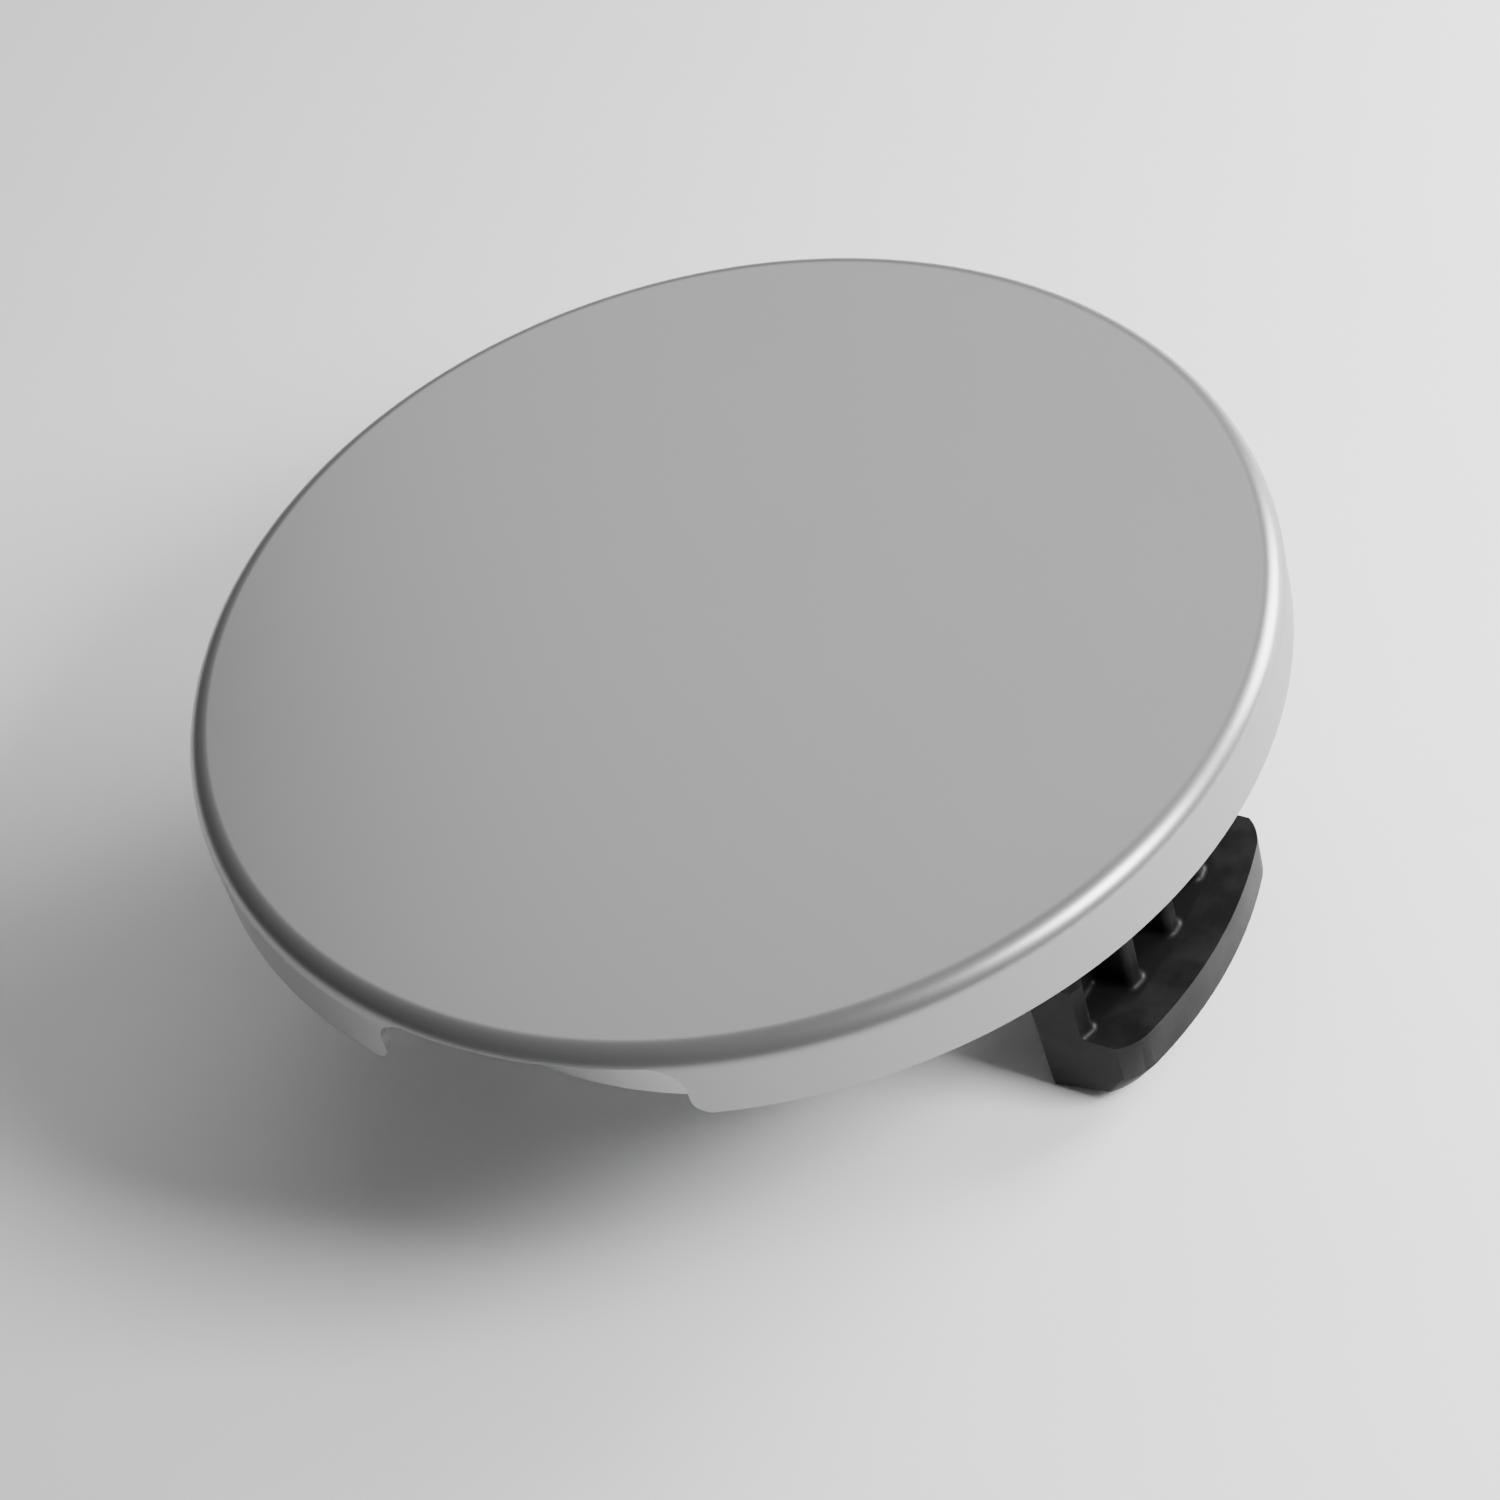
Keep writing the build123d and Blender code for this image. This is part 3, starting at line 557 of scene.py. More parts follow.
def cut(work: bmesh.types.BMesh, cutters: Iterable[bmesh.types.BMesh]) -> bmesh.types.BMesh:
    """Cut closed shapes out of a closed shape.

    Args:
        work: the shape, which is freed.
        cutters: the shapes to take away, which are freed.

    Returns:
        The cut shape.
    """
    blank = bpy.data.meshes.new("blank")
    work.to_mesh(blank)
    work.free()
    target = stand("blank", blank)
    tools = []
    for number, cutter in enumerate(cutters):
        tool_mesh = bpy.data.meshes.new("cutter")
        cutter.to_mesh(tool_mesh)
        cutter.free()
        tool = stand(f"cutter_{number}", tool_mesh)
        tools.append(tool)
        step = target.modifiers.new(f"cut_{number}", "BOOLEAN")
        step.operation = "DIFFERENCE"
        step.solver = "EXACT"
        step.object = tool
    out = bmesh.new()
    out.from_mesh(evaluated_mesh(target))
    for spare in (target, *tools):
        bpy.data.objects.remove(spare)
    bmesh.ops.remove_doubles(out, verts=out.verts, dist=SLIVER)
    bmesh.ops.dissolve_degenerate(out, edges=out.edges, dist=SLIVER)
    return out


# ---------------------------------------------------------------- node trees for what repeats
class PieceTree(NodeTree):
    """A Geometry Nodes tree that is made, used once and baked to a mesh."""

    def __init__(self, name: str) -> None:
        """Start an empty tree with one geometry in and one out."""
        super().__init__(bpy.data.node_groups.new(name, "GeometryNodeTree"))
        self.tree.interface.new_socket(name="Geometry", in_out="INPUT", socket_type="NodeSocketGeometry")
        self.tree.interface.new_socket(name="Geometry", in_out="OUTPUT", socket_type="NodeSocketGeometry")
        self.source = self.add("NodeGroupInput")
        self.sink = self.add("NodeGroupOutput")
        self.values: dict[str, object] = {}

    def setting(self, name: str, kind: str, value: object) -> bpy.types.NodeSocket:
        """Add a named input.

        Args:
            name: the input's name.
            kind: its socket type.
            value: what the modifier sets it to.

        Returns:
            The socket inside the tree.
        """
        self.tree.interface.new_socket(name=name, in_out="INPUT", socket_type=kind)
        self.values[name] = value
        return self.source.outputs[name]

    def finish(self, geometry: bpy.types.NodeSocket) -> None:
        """End the tree: realize, smooth and put it out.

        Args:
            geometry: the last geometry socket.
        """
        realize = self.add("GeometryNodeRealizeInstances")
        shade = self.add("GeometryNodeSetShadeSmooth")
        self.link(geometry, realize.inputs["Geometry"])
        self.link(realize.outputs["Geometry"], shade.inputs["Geometry"])
        self.link(shade.outputs["Geometry"], self.sink.inputs["Geometry"])

    def sweep(self, curve: bpy.types.NodeSocket, radius: bpy.types.NodeSocket, sides: int) -> bpy.types.Node:
        """Sweep a round section along a curve and end the tree with it.

        Args:
            curve: the curve.
            radius: radius of the section.
            sides: its number of sides.

        Returns:
            The node that makes the mesh.
        """
        circle = self.add("GeometryNodeCurvePrimitiveCircle")
        circle.inputs["Resolution"].default_value = sides
        self.link(radius, circle.inputs["Radius"])
        skin = self.add("GeometryNodeCurveToMesh")
        skin.inputs["Fill Caps"].default_value = True
        self.link(curve, skin.inputs["Curve"])
        self.link(circle.outputs["Curve"], skin.inputs["Profile Curve"])
        self.finish(skin.outputs["Mesh"])
        return skin

    def bake(self, name: str, start: bpy.types.Mesh, finish: Finish) -> bpy.types.Object:
        """Run the tree on a mesh and keep the result as a plain piece.

        Args:
            name: the piece's name.
            start: the mesh the tree starts from.
            finish: the piece's finish.

        Returns:
            The plain piece.
        """
        carrier = stand(f"{name}_carrier", start)
        modifier = carrier.modifiers.new("build", "NODES")
        modifier.node_group = self.tree
        for item in self.tree.interface.items_tree:
            if item.item_type == "SOCKET" and item.in_out == "INPUT" and item.name in self.values:
                modifier[item.identifier] = self.values[item.name]
        mesh = evaluated_mesh(carrier)
        bpy.data.objects.remove(carrier)
        return object_from(name, mesh, finish)


def guide_mesh(places: Iterable[Sequence[float]], edges: Sequence[tuple[int, int]] = ()) -> bpy.types.Mesh:
    """A mesh of points and the edges between them.

    Args:
        places: the points.
        edges: pairs of points to join.

    Returns:
        The mesh.
    """
    mesh = bpy.data.meshes.new("guide")
    mesh.from_pydata([tuple(p) for p in places], edges, [])
    return mesh


def set_on_points(name: str, template: bmesh.types.BMesh, places: Iterable[Sequence[float]], finish: Finish,
                  turn: float, seed: int = 1) -> bpy.types.Object:
    """Repeat one shape at many points, each turned by its own chance angle.

    Args:
        name: the piece's name.
        template: the shape at the origin, which is freed.
        places: where each copy stands.
        finish: the finish of all copies.
        turn: largest chance angle about Z.
        seed: seed of the angles.

    Returns:
        The baked piece.
    """
    shape = stand(f"{name}_template", mesh_from(template))
    job = PieceTree("pieces_on_points")
    source = job.setting("Template", "NodeSocketObject", shape)
    most = job.setting("Largest Turn", "NodeSocketFloat", turn)
    start = job.setting("Seed", "NodeSocketInt", seed)
    info = job.add("GeometryNodeObjectInfo")
    info.inputs["As Instance"].default_value = True
    job.link(source, info.inputs["Object"])
    chance = job.add("FunctionNodeRandomValue", data_type="FLOAT")
    job.link(most, chance.inputs[3])
    job.link(start, chance.inputs["Seed"])
    angle = job.add("ShaderNodeCombineXYZ")
    job.link(chance.outputs[1], angle.inputs["Z"])
    put = job.add("GeometryNodeInstanceOnPoints")
    job.link(job.source.outputs["Geometry"], put.inputs["Points"])
    job.link(info.outputs["Geometry"], put.inputs["Instance"])
    job.link(angle.outputs["Vector"], put.inputs["Rotation"])
    job.finish(put.outputs["Instances"])
    piece = job.bake(name, guide_mesh(places), finish)
    bpy.data.objects.remove(shape)
    return piece


def weld_bead(name: str, places: Sequence[Sequence[float]], closed: bool, radius: float,
              pitch: float = 4 * MM) -> bpy.types.Object:
    """A rippled weld bead along a line.

    Args:
        name: the piece's name.
        places: points of the line.
        closed: whether the line closes.
        radius: mean radius of the bead.
        pitch: length of one ripple.

    Returns:
        The baked bead.
    """
    job = PieceTree("weld_bead")
    size = job.setting("Bead Radius", "NodeSocketFloat", radius)
    step = job.setting("Ripple Pitch", "NodeSocketFloat", pitch)
    curve = job.add("GeometryNodeMeshToCurve")
    job.link(job.source.outputs["Geometry"], curve.inputs["Mesh"])
    resample = job.add("GeometryNodeResampleCurve", mode="LENGTH")
    job.link(curve.outputs["Curve"], resample.inputs["Curve"])
    job.link(job.calc("MULTIPLY", step, BEAD_STEP), resample.inputs["Length"])
    along = job.add("GeometryNodeSplineParameter")
    phase = job.calc("DIVIDE", along.outputs["Length"], step)
    wave = job.calc("ABSOLUTE", job.calc("SINE", job.calc("MULTIPLY", phase, math.pi)))
    swell = job.calc("MULTIPLY_ADD", wave, RIPPLE_HEIGHT, RIPPLE_FOOT)
    widen = job.add("GeometryNodeSetCurveRadius")
    job.link(resample.outputs["Curve"], widen.inputs["Curve"])
    job.link(swell, widen.inputs["Radius"])
    skin = job.sweep(widen.outputs["Curve"], size, BEAD_SIDES)
    job.link(job.add("GeometryNodeInputRadius").outputs["Radius"], skin.inputs["Scale"])
    count = len(places)
    edges = [(i, (i + 1) % count) for i in range(count if closed else count - 1)]
    return job.bake(name, guide_mesh(places, edges), WELD)


def ring_bead(name: str, radius: float, height: float, steps: int, bead: float) -> None:
    """Lay a closed bead round the Z axis, on the cover.

    Args:
        name: the piece's name.
        radius: radius of the ring.
        height: its height.
        steps: points of the ring.
        bead: mean radius of the bead.
    """
    last = 360 - 360 / steps
    line = [(*point, height) for point in arc((0, 0), radius, 0, last, steps - 1)]
    settle(weld_bead(name, line, True, bead), "cover", WELD)


# ---------------------------------------------------------------- the cover
@dataclass
class Assembly:
    """A sub-assembly of the frame."""

    frame: dict

    def dress(self, table: dict[str, tuple[Finish, float]]) -> None:
        """Soften several nodes.

        Args:
            table: the finish and the edge rounding in millimetres of each node.
        """
        for node, (finish, width) in table.items():
            softened_node(self.frame, node, finish, width * MM)


@dataclass
class CoverShell:
    """The pressed cover with its rounded edge, skirt and hand notch."""

    edge_radius: float = 16 * MM
    plate: float = 6 * MM
    notch_direction: float = -81.8
    notch_width: float = 207 * MM
    notch_height: float = 44 * MM
    notch_corner: float = 22 * MM
    notch_foot: float = 14 * MM
    notch_depth: float = 60 * MM
    notch_inside: float = 40 * MM
    notch_edge: float = 0.9 * MM
    foot_round: float = 0.8 * MM
    face_rings: tuple[float, ...] = (0.3, 0.6, 0.85)
    segments: int = 288
    low: Vector = field(default_factory=lambda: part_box("cover_shell")[0])
    high: Vector = field(default_factory=lambda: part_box("cover_shell")[1])

    @property
    def radius(self) -> float:
        """Outside radius of the skirt."""
        return self.high.x

    def section(self) -> list[Point]:
        """The shell's half section, from the top's centre round to its underside.

        Returns:
            Radius and height of each corner.
        """
        inner = self.edge_radius - self.plate
        skirt_in = self.radius - self.plate
        foot, top = self.low.z, self.high.z
        lip = self.foot_round
        outline: list[Point] = [(0.0, top)]
        outline += [(self.radius * share, top) for share in self.face_rings]
        outline += arc((self.radius - self.edge_radius, top - self.edge_radius), self.edge_radius, 90, 0, 14)
        outline += arc((self.radius - lip, foot + lip), lip, 0, -90, 3)
        outline += arc((skirt_in + lip, foot + lip), lip, -90, -180, 3)
        outline += arc((skirt_in - inner, top - self.edge_radius), inner, 0, 90, 8)
        outline += [(self.radius * share, top - self.plate) for share in reversed(self.face_rings)]
        outline.append((0.0, top - self.plate))
        return outline

    def notch(self) -> bmesh.types.BMesh:
        """The notch as a solid to cut away.

        Returns:
            The cutter, in place.
        """
        half = self.notch_width / 2
        corner, foot = self.notch_corner, self.notch_foot
        reach = half + 3 * foot
        right = [(reach, -foot), (reach, 0.0)] + arc((half + foot, foot), foot, -90, -180, 8)
        right += arc((half - corner, self.notch_height - corner), corner, 0, 90, 10)
        left = [(-x, y) for x, y in reversed(right)]
        cutter = prism(right + left, self.notch_depth)
        start = self.radius - self.notch_inside
        spread = Matrix(((0, 0, 1, start), (1, 0, 0, 0), (0, 1, 0, self.low.z), (0, 0, 0, 1)))
        turn = Matrix.Rotation(math.radians(self.notch_direction), 4, "Z")
        cutter.transform(turn @ spread)
        bmesh.ops.recalc_face_normals(cutter, faces=cutter.faces)
        return cutter

    def build(self) -> None:
        """Make the shell and dress it."""
        work = cut(lathe(self.section(), self.segments), [self.notch()])
        bevel_sharp(work, self.notch_edge, 3, CUT_SHARP)
        piece = even_shading(object_from("cover_pressing", mesh_from(work, TURNED_CREASE), COVER_STEEL))
        settle(piece, "cover", COVER_STEEL, "cover_shell")


@dataclass
class Spigot(Assembly):
    """The locating ring, its bolting flange and the bead that joins them."""

    wall: float = 5 * MM
    rim: float = 2 * MM
    segments: int = 240
    window_start: float = -95.8
    window_end: float = -67.8
    window_side: float = 23.5 * MM
    window_edge: float = 0.5 * MM
    bead: float = 2.6 * MM
    bead_out: float = 0.8 * MM
    bead_sink: float = 0.6 * MM
    bead_points: int = 144

    def window(self) -> bmesh.types.BMesh:
        """The lever window as a solid to cut away.

        Returns:
            The cutter, in place.
        """
        arm_low, arm_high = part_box("lever_buffers")
        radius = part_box("spigot")[1].x
        inner, outer = radius - 4 * self.wall, radius + 2 * self.wall
        slant = math.degrees(math.asin(self.window_side / radius))
        first, last = self.window_start - slant, self.window_end + slant
        outline = arc((0, 0), outer, first, last, 24) + arc((0, 0), inner, last, first, 24)
        cutter = prism(outline, arm_high.z - arm_low.z)
        cutter.transform(Matrix.Translation((0, 0, arm_low.z)))
        return cutter

    def build(self) -> None:
        """Make the ring, the flange and the bead."""
        low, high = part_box("spigot")
        radius = high.x
        inner = radius - self.wall
        outline: list[Point] = arc((radius - self.rim, low.z + self.rim), self.rim, -90, 0, 5)
        outline += [(radius, high.z), (inner, high.z)]
        outline += arc((inner + self.rim, low.z + self.rim), self.rim, 180, 270, 5)
        work = cut(lathe(outline, self.segments), [self.window()])
        bevel_sharp(work, self.window_edge, 2, CUT_SHARP)
        piece = even_shading(object_from("spigot_ring", mesh_from(work, TURNED_CREASE), SPIGOT_STEEL))
        settle(piece, "cover", SPIGOT_STEEL, "spigot")
        self.dress({"spigot_flange": (PLATE_STEEL, 0.7)})
        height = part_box("spigot_flange")[0].z - self.bead_sink
        ring_bead("flange_weld", radius + self.bead_out, height, self.bead_points, self.bead)


@dataclass
class OdourSeal(Assembly):
    """The lipped rubber ring and its strap."""

    lip: float = 4 * MM
    lip_round: float = 0.4
    strap_sink: float = 1.2 * MM
    strap_edge: float = 0.35 * MM
    segments: int = 200

    def build(self) -> None:
        """Make the ring and the strap."""
        low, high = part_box("seal_ring")
        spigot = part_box("spigot")[1].x
        strap_low, strap_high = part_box("seal_band")
        base = strap_high.x - self.strap_sink
        tip = self.lip * self.lip_round
        outline = [(spigot, low.z)]
        outline += arc((high.x - tip, low.z + self.lip / 2), tip, -90, 90, 6)
        outline += [(base, low.z + self.lip), (base, high.z - self.lip)]
        outline += arc((high.x - tip, high.z - self.lip / 2), tip, -90, 90, 6)
        outline += [(spigot, high.z)]
        ring = object_from("seal_profile", mesh_from(lathe(outline, self.segments), TURNED_CREASE), RUBBER)
        settle(ring, "cover", RUBBER, "seal_ring")
        strap = rounded_section(base, strap_high.x, strap_low.z, strap_high.z, self.strap_edge, 2)
        band = object_from("seal_strap", mesh_from(lathe(strap, self.segments), TURNED_CREASE), STAINLESS)
        settle(band, "cover", STAINLESS, "seal_band")
        self.dress({"band_screw": (STAINLESS, 0.3)})


@dataclass
class UnderStructure(Assembly):
    """Stiffeners and gussets with the beads that join them to the plate."""

    blade: float = 6 * MM
    blade_edge: float = 0.6 * MM
    bead: float = 2.2 * MM
    bead_shift: float = 0.4 * MM
    bead_steps: int = 8
    inner_gap: float = 4 * MM
    stiffener_gap: float = 8 * MM
    gusset_gap: float = 20 * MM

    def bead_along(self, node: str, degrees: float, start: float, end: float) -> None:
        """Lay a bead on each side of a radial blade, where it meets the plate.

        Args:
            node: the blade's node.
            degrees: the blade's direction.
            start: inner end of the bead.
            end: outer end of the bead.
        """
        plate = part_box(node)[1].z - self.bead_shift
        turn = Matrix.Rotation(math.radians(degrees), 4, "Z")
        for side, word in ((1, "left"), (-1, "right")):
            offset = side * (self.blade / 2 + self.bead_shift)
            line = [turn @ Vector((start + (end - start) * i / self.bead_steps, offset, plate))
                    for i in range(self.bead_steps + 1)]
            settle(weld_bead(f"{node}_weld_{word}", line, False, self.bead), "cover", WELD)

    def build(self) -> None:
        """Dress the blades and lay their beads."""
        for node in sorted(n for n in self.frame["nodes"] if n.startswith(("stiffener_", "gusset_"))):
            low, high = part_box(node)
            middle = (low + high) / 2
            degrees = math.degrees(math.atan2(middle.y, middle.x))
            softened_node(self.frame, node, PLATE_STEEL, self.blade_edge)
            reach = max(Vector((x, y)).length for x in (low.x, high.x) for y in (low.y, high.y))
            span = (high - low).to_2d().length - self.blade
            outer_gap = self.stiffener_gap if node.startswith("stiffener_") else self.gusset_gap
            self.bead_along(node, degrees, reach - span + self.inner_gap, reach - outer_gap)


# ---------------------------------------------------------------- lock
@dataclass
class PivotStack(Assembly):
    """Boss, stud and what is clamped on the stud, with the return spring."""

    thread_pitch: float = 2.0 * MM
    thread_radius: float = 9.55 * MM
    thread_wire: float = 0.55 * MM
    thread_start: float = 1.6 * MM
    thread_short: float = 2.4 * MM
    thread_sides: int = 6
    thread_steps: int = 28
    bead: float = 3.0 * MM
    bead_out: float = 0.8 * MM
    bead_sink: float = 0.6 * MM
    bead_points: int = 36

    def thread(self) -> None:
        """Wind the visible thread on the stud's tail."""
        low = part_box("pivot_stud")[0]
        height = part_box("pivot_nut")[0].z - low.z - self.thread_short
        job = PieceTree("wound_wire")
        spiral = job.add("GeometryNodeCurveSpiral")
        spiral.inputs["Resolution"].default_value = self.thread_steps
        radius = job.setting("Coil Radius", "NodeSocketFloat", self.thread_radius)
        turns = job.setting("Turns", "NodeSocketFloat", height / self.thread_pitch)
        job.link(turns, spiral.inputs["Rotations"])
        job.link(radius, spiral.inputs["Start Radius"])
        job.link(radius, spiral.inputs["End Radius"])
        job.link(job.setting("Coil Height", "NodeSocketFloat", height), spiral.inputs["Height"])
        wire = job.setting("Wire Radius", "NodeSocketFloat", self.thread_wire)
        job.sweep(spiral.outputs["Curve"], wire, self.thread_sides)
        tail = job.bake("pivot_thread", guide_mesh([(0, 0, 0)]), GROUND_STEEL)
        end = min((v.co for v in tail.data.vertices), key=lambda co: co.z)
        swing = Matrix.Rotation(-math.atan2(end.y, end.x), 4, "Z")
        tail.data.transform(Matrix.Translation((0, 0, low.z + self.thread_start)) @ swing)
        settle(tail, "cover", GROUND_STEEL)
        self.dress({"pivot_stud": (GROUND_STEEL, 0.3)})

    def build(self) -> None:
        """Make every piece on the pivot."""
        self.dress({"pivot_boss": (PLATE_STEEL, 0.6)})
        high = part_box("pivot_boss")[1]
        ring_bead("boss_weld", high.x + self.bead_out, high.z - self.bead_sink, self.bead_points, self.bead)
        self.thread()
        self.dress({
            "spring_keeper": (PLATE_STEEL, 0.6),
            "keeper_peg": (ZINC, 0.6),
            "pivot_washer": (ZINC, 0.3),
            "pivot_nut": (ZINC, 0.4),
            "split_pin": (STAINLESS, 0.0),
            "torsion_spring": (SPRING_STEEL, 0.0),
        })


@dataclass
class CamDrive(Assembly):
    """Cam disc with its bush, lever, grip and fasteners."""

    rest_direction: float = -95.8
    ridges: int = 7
    ridge_pitch: float = 6 * MM
    ridge_radius: float = 1.1 * MM
    ridge_length: float = 26 * MM
    ridge_start: float = 291 * MM
    ridge_edge: float = 0.4 * MM
    ridge_sink: float = 0.35

    def grip(self) -> None:
        """Dress the lever's grip and set finger ridges across its underside."""
        self.dress({"lever_grip": (VINYL, 0.5)})
        low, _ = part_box("lever_grip")
        turn = Matrix.Rotation(math.radians(self.rest_direction), 4, "Z")
        outline = arc((0, 0), self.ridge_radius, 180, 360, 8)
        outline += arc((0, 0), self.ridge_radius, 0, 180, 8)[1:-1]
        ridge = prism(outline, self.ridge_length)
        bevel_sharp(ridge, self.ridge_edge)
        lay = Matrix.Rotation(math.radians(90), 4, "X")
        ridge.transform(turn @ lay @ Matrix.Translation((0, 0, -self.ridge_length / 2)))
        height = low.z + self.ridge_radius * self.ridge_sink
        places = [turn @ Vector((self.ridge_start + self.ridge_pitch * i, 0, height))
                  for i in range(self.ridges)]
        piece = set_on_points("grip_ridges", ridge, places, VINYL, 0.0)
        settle(piece, "cam", VINYL)

    def build(self) -> None:
        """Make every piece that turns with the cam."""
        self.dress({
            "cam_disc": (PLATE_STEEL, 0.5),
            "hub_bush": (BRONZE, 0.3),
            "lever_arm": (PLATE_STEEL, 0.7),
            "cam_peg": (ZINC, 0.5),
            "lever_bolts": (ZINC, 0.4),
            "lever_nuts": (ZINC, 0.4),
        })
        self.grip()


@dataclass
class Guides(Assembly):
    """Wear pads, rails and lever buffers."""

    def build(self) -> None:
        """Dress the pads, the rails and the buffers."""
        for side in "ab":
            self.dress({
                f"wear_pad_{side}": (NYLON, 0.5),
                f"guide_rail_{side}_left": (PLATE_STEEL, 0.5),
                f"guide_rail_{side}_right": (PLATE_STEEL, 0.5),
            })
        self.dress({"lever_buffers": (RUBBER, 0.6)})


@dataclass
class ClawSlide(Assembly):
    """One slide bar with its claw, cam pin, clip and screws."""

    side: str
    cast_edge: float = 1.4 * MM

    def build(self) -> None:
        """Make every piece that travels with this claw."""
        side = self.side
        softened_node(self.frame, f"claw_{side}", CASTING, self.cast_edge, 3)
        self.dress({
            f"slide_bar_{side}": (GROUND_STEEL, 0.5),
            f"cam_pin_{side}": (GROUND_STEEL, 0.4),
            f"pin_clip_{side}": (SPRING_STEEL, 0.2),
            f"claw_screws_{side}": (ZINC, 0.3),
        })


@dataclass
class Fasteners(Assembly):
    """Studs, washers and nuts under the plate."""

    nut_flats: dict[str, float] = field(
        default_factory=lambda: {"spigot_nuts": 17 * MM, "rail_nuts": 13 * MM})
    stud_radii: dict[str, float] = field(
        default_factory=lambda: {"spigot_studs": 5 * MM, "rail_studs": 4 * MM})
    washer_radii: Point = (5 * MM, 10 * MM)
    washer_edge: float = 0.4 * MM
    crown_share: float = 0.56
    bore_share: float = 0.6
    ease: float = 0.8 * MM
    half_space: float = 10 * MM

    def nut(self, flats: float, height: float) -> bmesh.types.BMesh:
        """A bored hexagon nut standing on its foot at the origin.

        Args:
            flats: width across flats.
            height: height.

        Returns:
            The working mesh.
        """
        corner = flats / math.sqrt(3)
        corners = [(corner * math.cos(TAU * i / 6), corner * math.sin(TAU * i / 6)) for i in range(6)]
        outlines = []
        for one, two in zip(corners, corners[1:] + corners[:1]):
            away = Vector(((one[0] + two[0]) / 2, (one[1] + two[1]) / 2)).normalized() * self.half_space
            edge = [tuple(a * 1.5 - b * 0.5 for a, b in zip(*pair)) for pair in ((one, two), (two, one))]
            outlines.append(edge + [(x + away.x, y + away.y) for x, y in reversed(edge)])
        outlines.append(arc((0, 0), flats * self.bore_share / 2, 0, 345, 23))
        cutters = [prism(outline, height * 2) for outline in outlines]
        for cutter in cutters:
            cutter.transform(Matrix.Translation((0, 0, -height / 2)))
        crown, ease = flats * self.crown_share, self.ease
        rim = [(0.0, 0.0), (crown - ease, 0.0), (crown, ease), (crown, height - ease),
               (crown - ease, height), (0.0, height)]
        return cut(lathe(rim, 36), cutters)

    def spread(self, node: str, shape: Callable[[float], bmesh.types.BMesh], turn: float = 0.0,
               seed: int = 1) -> None:
        """Set one shape on the foot of each of a node's solids.

        Args:
            node: the node that the copies replace.
            shape: makes one of them from its height.
            turn: largest chance angle about Z.
            seed: seed of the angles.
        """
        low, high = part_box(node)
        places = [(p.x, p.y, low.z) for p in island_centres(self.frame["nodes"][node])]
        piece = set_on_points(f"{node}_set", shape(high.z - low.z), places, ZINC, turn, seed)
        settle(piece, "cover", ZINC, node)

    def build(self) -> None:
        """Make all the fasteners by setting one shape on many points."""
        for node, flats in self.nut_flats.items():
            self.spread(node, partial(self.nut, flats), TAU, 7)
        tip = self.ease
        for node, radius in self.stud_radii.items():
            self.spread(node, lambda tall, r=radius: lathe(
                [(0.0, 0.0), (r - tip, 0.0), (r, tip), (r, tall), (0.0, tall)], 20))
        self.spread("spigot_washers", lambda tall: lathe(
            rounded_section(*self.washer_radii, 0, tall, self.washer_edge, 2), 28))


def island_centres(node: bpy.types.Object) -> list[Vector]:
    """The centre of each separate solid of a node.

    Args:
        node: the node's object.

    Returns:
        One centre for each solid.
    """
    work = bmesh.new()
    work.from_mesh(node.data)
    bmesh.ops.remove_doubles(work, verts=work.verts, dist=MERGE)
    left = set(work.verts)
    centres = []
    while left:
        front = [left.pop()]
        island = list(front)
        while front:
            vert = front.pop()
            for edge in vert.link_edges:
                other = edge.other_vert(vert)
                if other in left:
                    left.remove(other)
                    front.append(other)
                    island.append(other)
        low = Vector([min(v.co[k] for v in island) for k in range(3)])
        high = Vector([max(v.co[k] for v in island) for k in range(3)])
        centres.append((low + high) / 2)
    work.free()
    return sorted(centres, key=lambda c: math.atan2(c.y, c.x))


# ---------------------------------------------------------------- studio
@dataclass
class Lamp:
    """A soft rectangular lamp."""

    name: str
    place: tuple[float, float, float]
    size: float
    power: float
    colour: Colour = (1.0, 1.0, 1.0)

    def hang(self, aim: Vector) -> None:
        """Hang the lamp and turn it to what it lights.

        Args:
            aim: the point it faces.
        """
        data = bpy.data.lights.new(self.name, "AREA")
        data.shape = "SQUARE"
        data.size = self.size
        data.energy = self.power
        data.color = self.colour
        lamp = stand(self.name, data)
        lamp.location = self.place
        lamp.rotation_euler = (aim - Vector(self.place)).to_track_quat("-Z", "Y").to_euler()


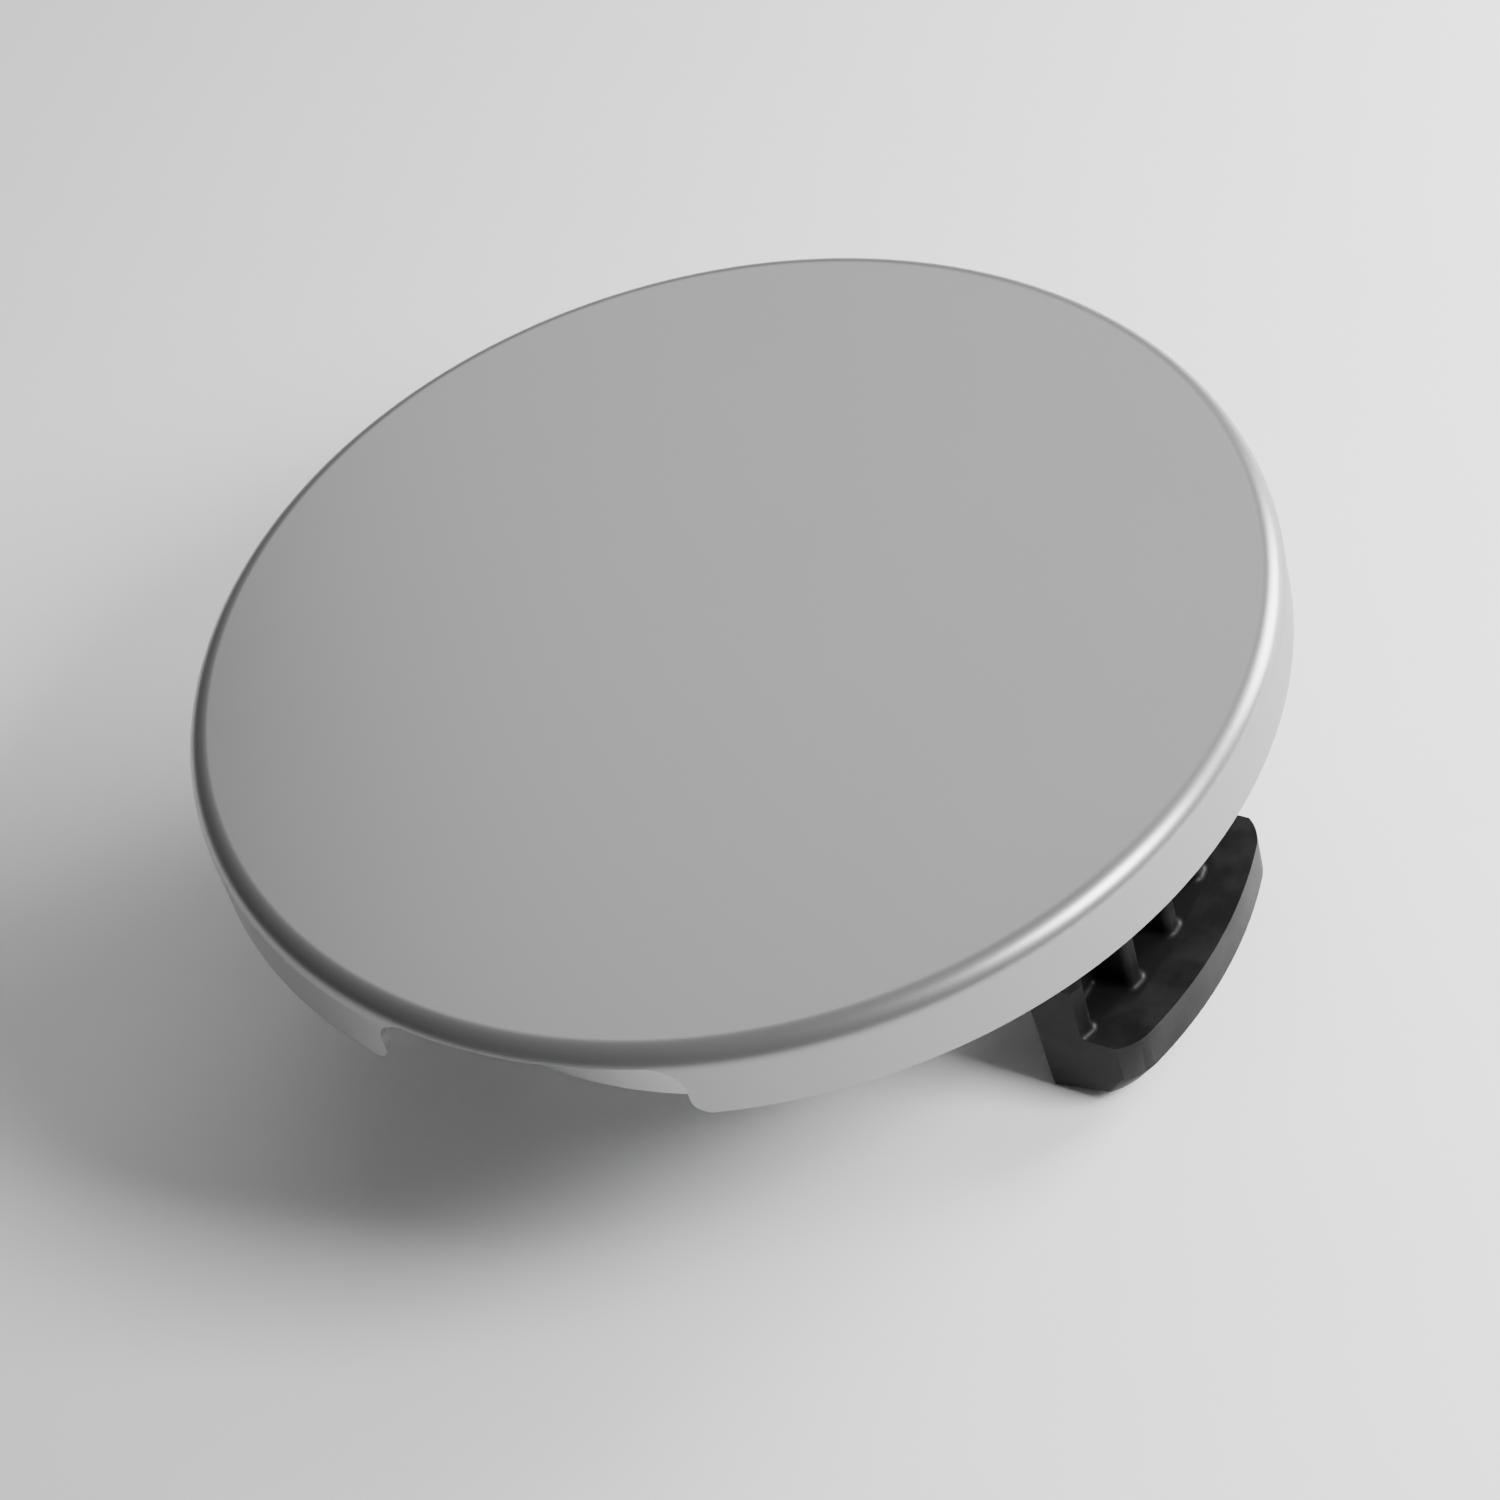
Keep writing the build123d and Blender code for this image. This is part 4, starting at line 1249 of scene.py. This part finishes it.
@dataclass
class Studio:
    """Pale floor, soft lamps and the camera."""

    camera_place: tuple[float, float, float] = (1.2814, -1.4735, 2.1016)
    camera_aim: tuple[float, float, float] = (0.0386, -0.0566, 0.2060)
    camera_roll: float = -17.08
    lens: float = 98.8
    sensor: float = 36.0
    floor_size: float = 14.0
    bright_side: tuple[float, float, float] = (0.55, 0.75, 0.45)
    sky_dim: float = 1.5
    sky_bright: float = 5.6
    floor_white: float = 0.92
    lamps: tuple[Lamp, ...] = (
        Lamp("key_lamp", (2.0, 0.25, 1.75), 0.9, 115.0),
        Lamp("edge_lamp", (1.25, 1.9, 0.95), 1.1, 120.0),
        Lamp("top_lamp", (-0.8, 1.45, 1.85), 1.9, 17.0),
    )

    def floor(self) -> None:
        """Lay the floor."""
        half = self.floor_size / 2
        mesh = bpy.data.meshes.new("studio_floor")
        mesh.from_pydata([(-half, -half, 0), (half, -half, 0), (half, half, 0), (-half, half, 0)], [],
                         [(0, 1, 2, 3)])
        white = (self.floor_white,) * 3
        paint = Finish("pale_floor", "", white, 0.0, 0.8, Grain.MOULDED, 0.02 * MM, mottle=0.01)
        floor = object_from("studio_floor", mesh, paint)
        self.see_through_from_below(floor.data.materials[0])

    @staticmethod
    def see_through_from_below(material: bpy.types.Material) -> None:
        """Let the floor's underside show what stands on it.

        Args:
            material: the floor's material.
        """
        canvas = NodeTree(material.node_tree)
        end = next(n for n in canvas.tree.nodes if n.bl_idname == "ShaderNodeOutputMaterial")
        surface = end.inputs["Surface"].links[0].from_socket
        choice = canvas.add("ShaderNodeMixShader")
        canvas.link(canvas.add("ShaderNodeNewGeometry").outputs["Backfacing"], choice.inputs["Fac"])
        canvas.link(surface, choice.inputs[1])
        canvas.link(canvas.add("ShaderNodeBsdfTransparent").outputs["BSDF"], choice.inputs[2])
        canvas.link(choice.outputs["Shader"], end.inputs["Surface"])

    def sky_light(self) -> None:
        """Light everything softly from all round."""
        world = bpy.data.worlds.new("soft_sky")
        bpy.context.scene.world = world
        world.use_nodes = True
        sky = NodeTree(world.node_tree)
        lean = sky.add("ShaderNodeVectorMath", operation="DOT_PRODUCT")
        lean.inputs[1].default_value = Vector(self.bright_side).normalized()
        sky.link(sky.add("ShaderNodeTexCoord").outputs["Generated"], lean.inputs[0])
        level = sky.add("ShaderNodeMapRange", interpolation_type="SMOOTHSTEP")
        level.inputs["From Min"].default_value = -1.0
        level.inputs["To Min"].default_value = self.sky_dim
        level.inputs["To Max"].default_value = self.sky_bright
        sky.link(lean.outputs["Value"], level.inputs["Value"])
        sky.link(level.outputs["Result"], sky.tree.nodes["Background"].inputs["Strength"])

    def camera(self) -> None:
        """Stand the camera at its place, aimed and rolled."""
        data = bpy.data.cameras.new("view_camera")
        data.lens = self.lens
        data.sensor_width = self.sensor
        data.sensor_height = self.sensor
        place, aim = Vector(self.camera_place), Vector(self.camera_aim)
        ahead = (aim - place).normalized()
        level = ahead.cross(Vector((0, 0, 1))).normalized()
        upright = level.cross(ahead)
        roll = math.radians(self.camera_roll)
        right = level * math.cos(roll) + upright * math.sin(roll)
        above = upright * math.cos(roll) - level * math.sin(roll)
        camera = stand("view_camera", data)
        axes = Matrix((right, above, -ahead)).transposed().to_4x4()
        camera.matrix_world = Matrix.Translation(place) @ axes
        bpy.context.scene.camera = camera

    def build(self) -> None:
        """Set up the whole studio."""
        self.floor()
        self.sky_light()
        for lamp in self.lamps:
            lamp.hang(Vector(self.camera_aim))
        self.camera()


def main() -> None:
    """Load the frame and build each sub-assembly."""
    logging.basicConfig(level=logging.INFO, format="%(name)s: %(message)s")
    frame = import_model()
    builders: list[Callable[[], None]] = [
        CoverShell().build,
        Spigot(frame).build,
        OdourSeal(frame).build,
        UnderStructure(frame).build,
        PivotStack(frame).build,
        CamDrive(frame).build,
        Guides(frame).build,
        ClawSlide(frame, "a").build,
        ClawSlide(frame, "b").build,
        Fasteners(frame).build,
        Studio().build,
    ]
    for build in builders:
        build()


if __name__ == "__main__":
    main()
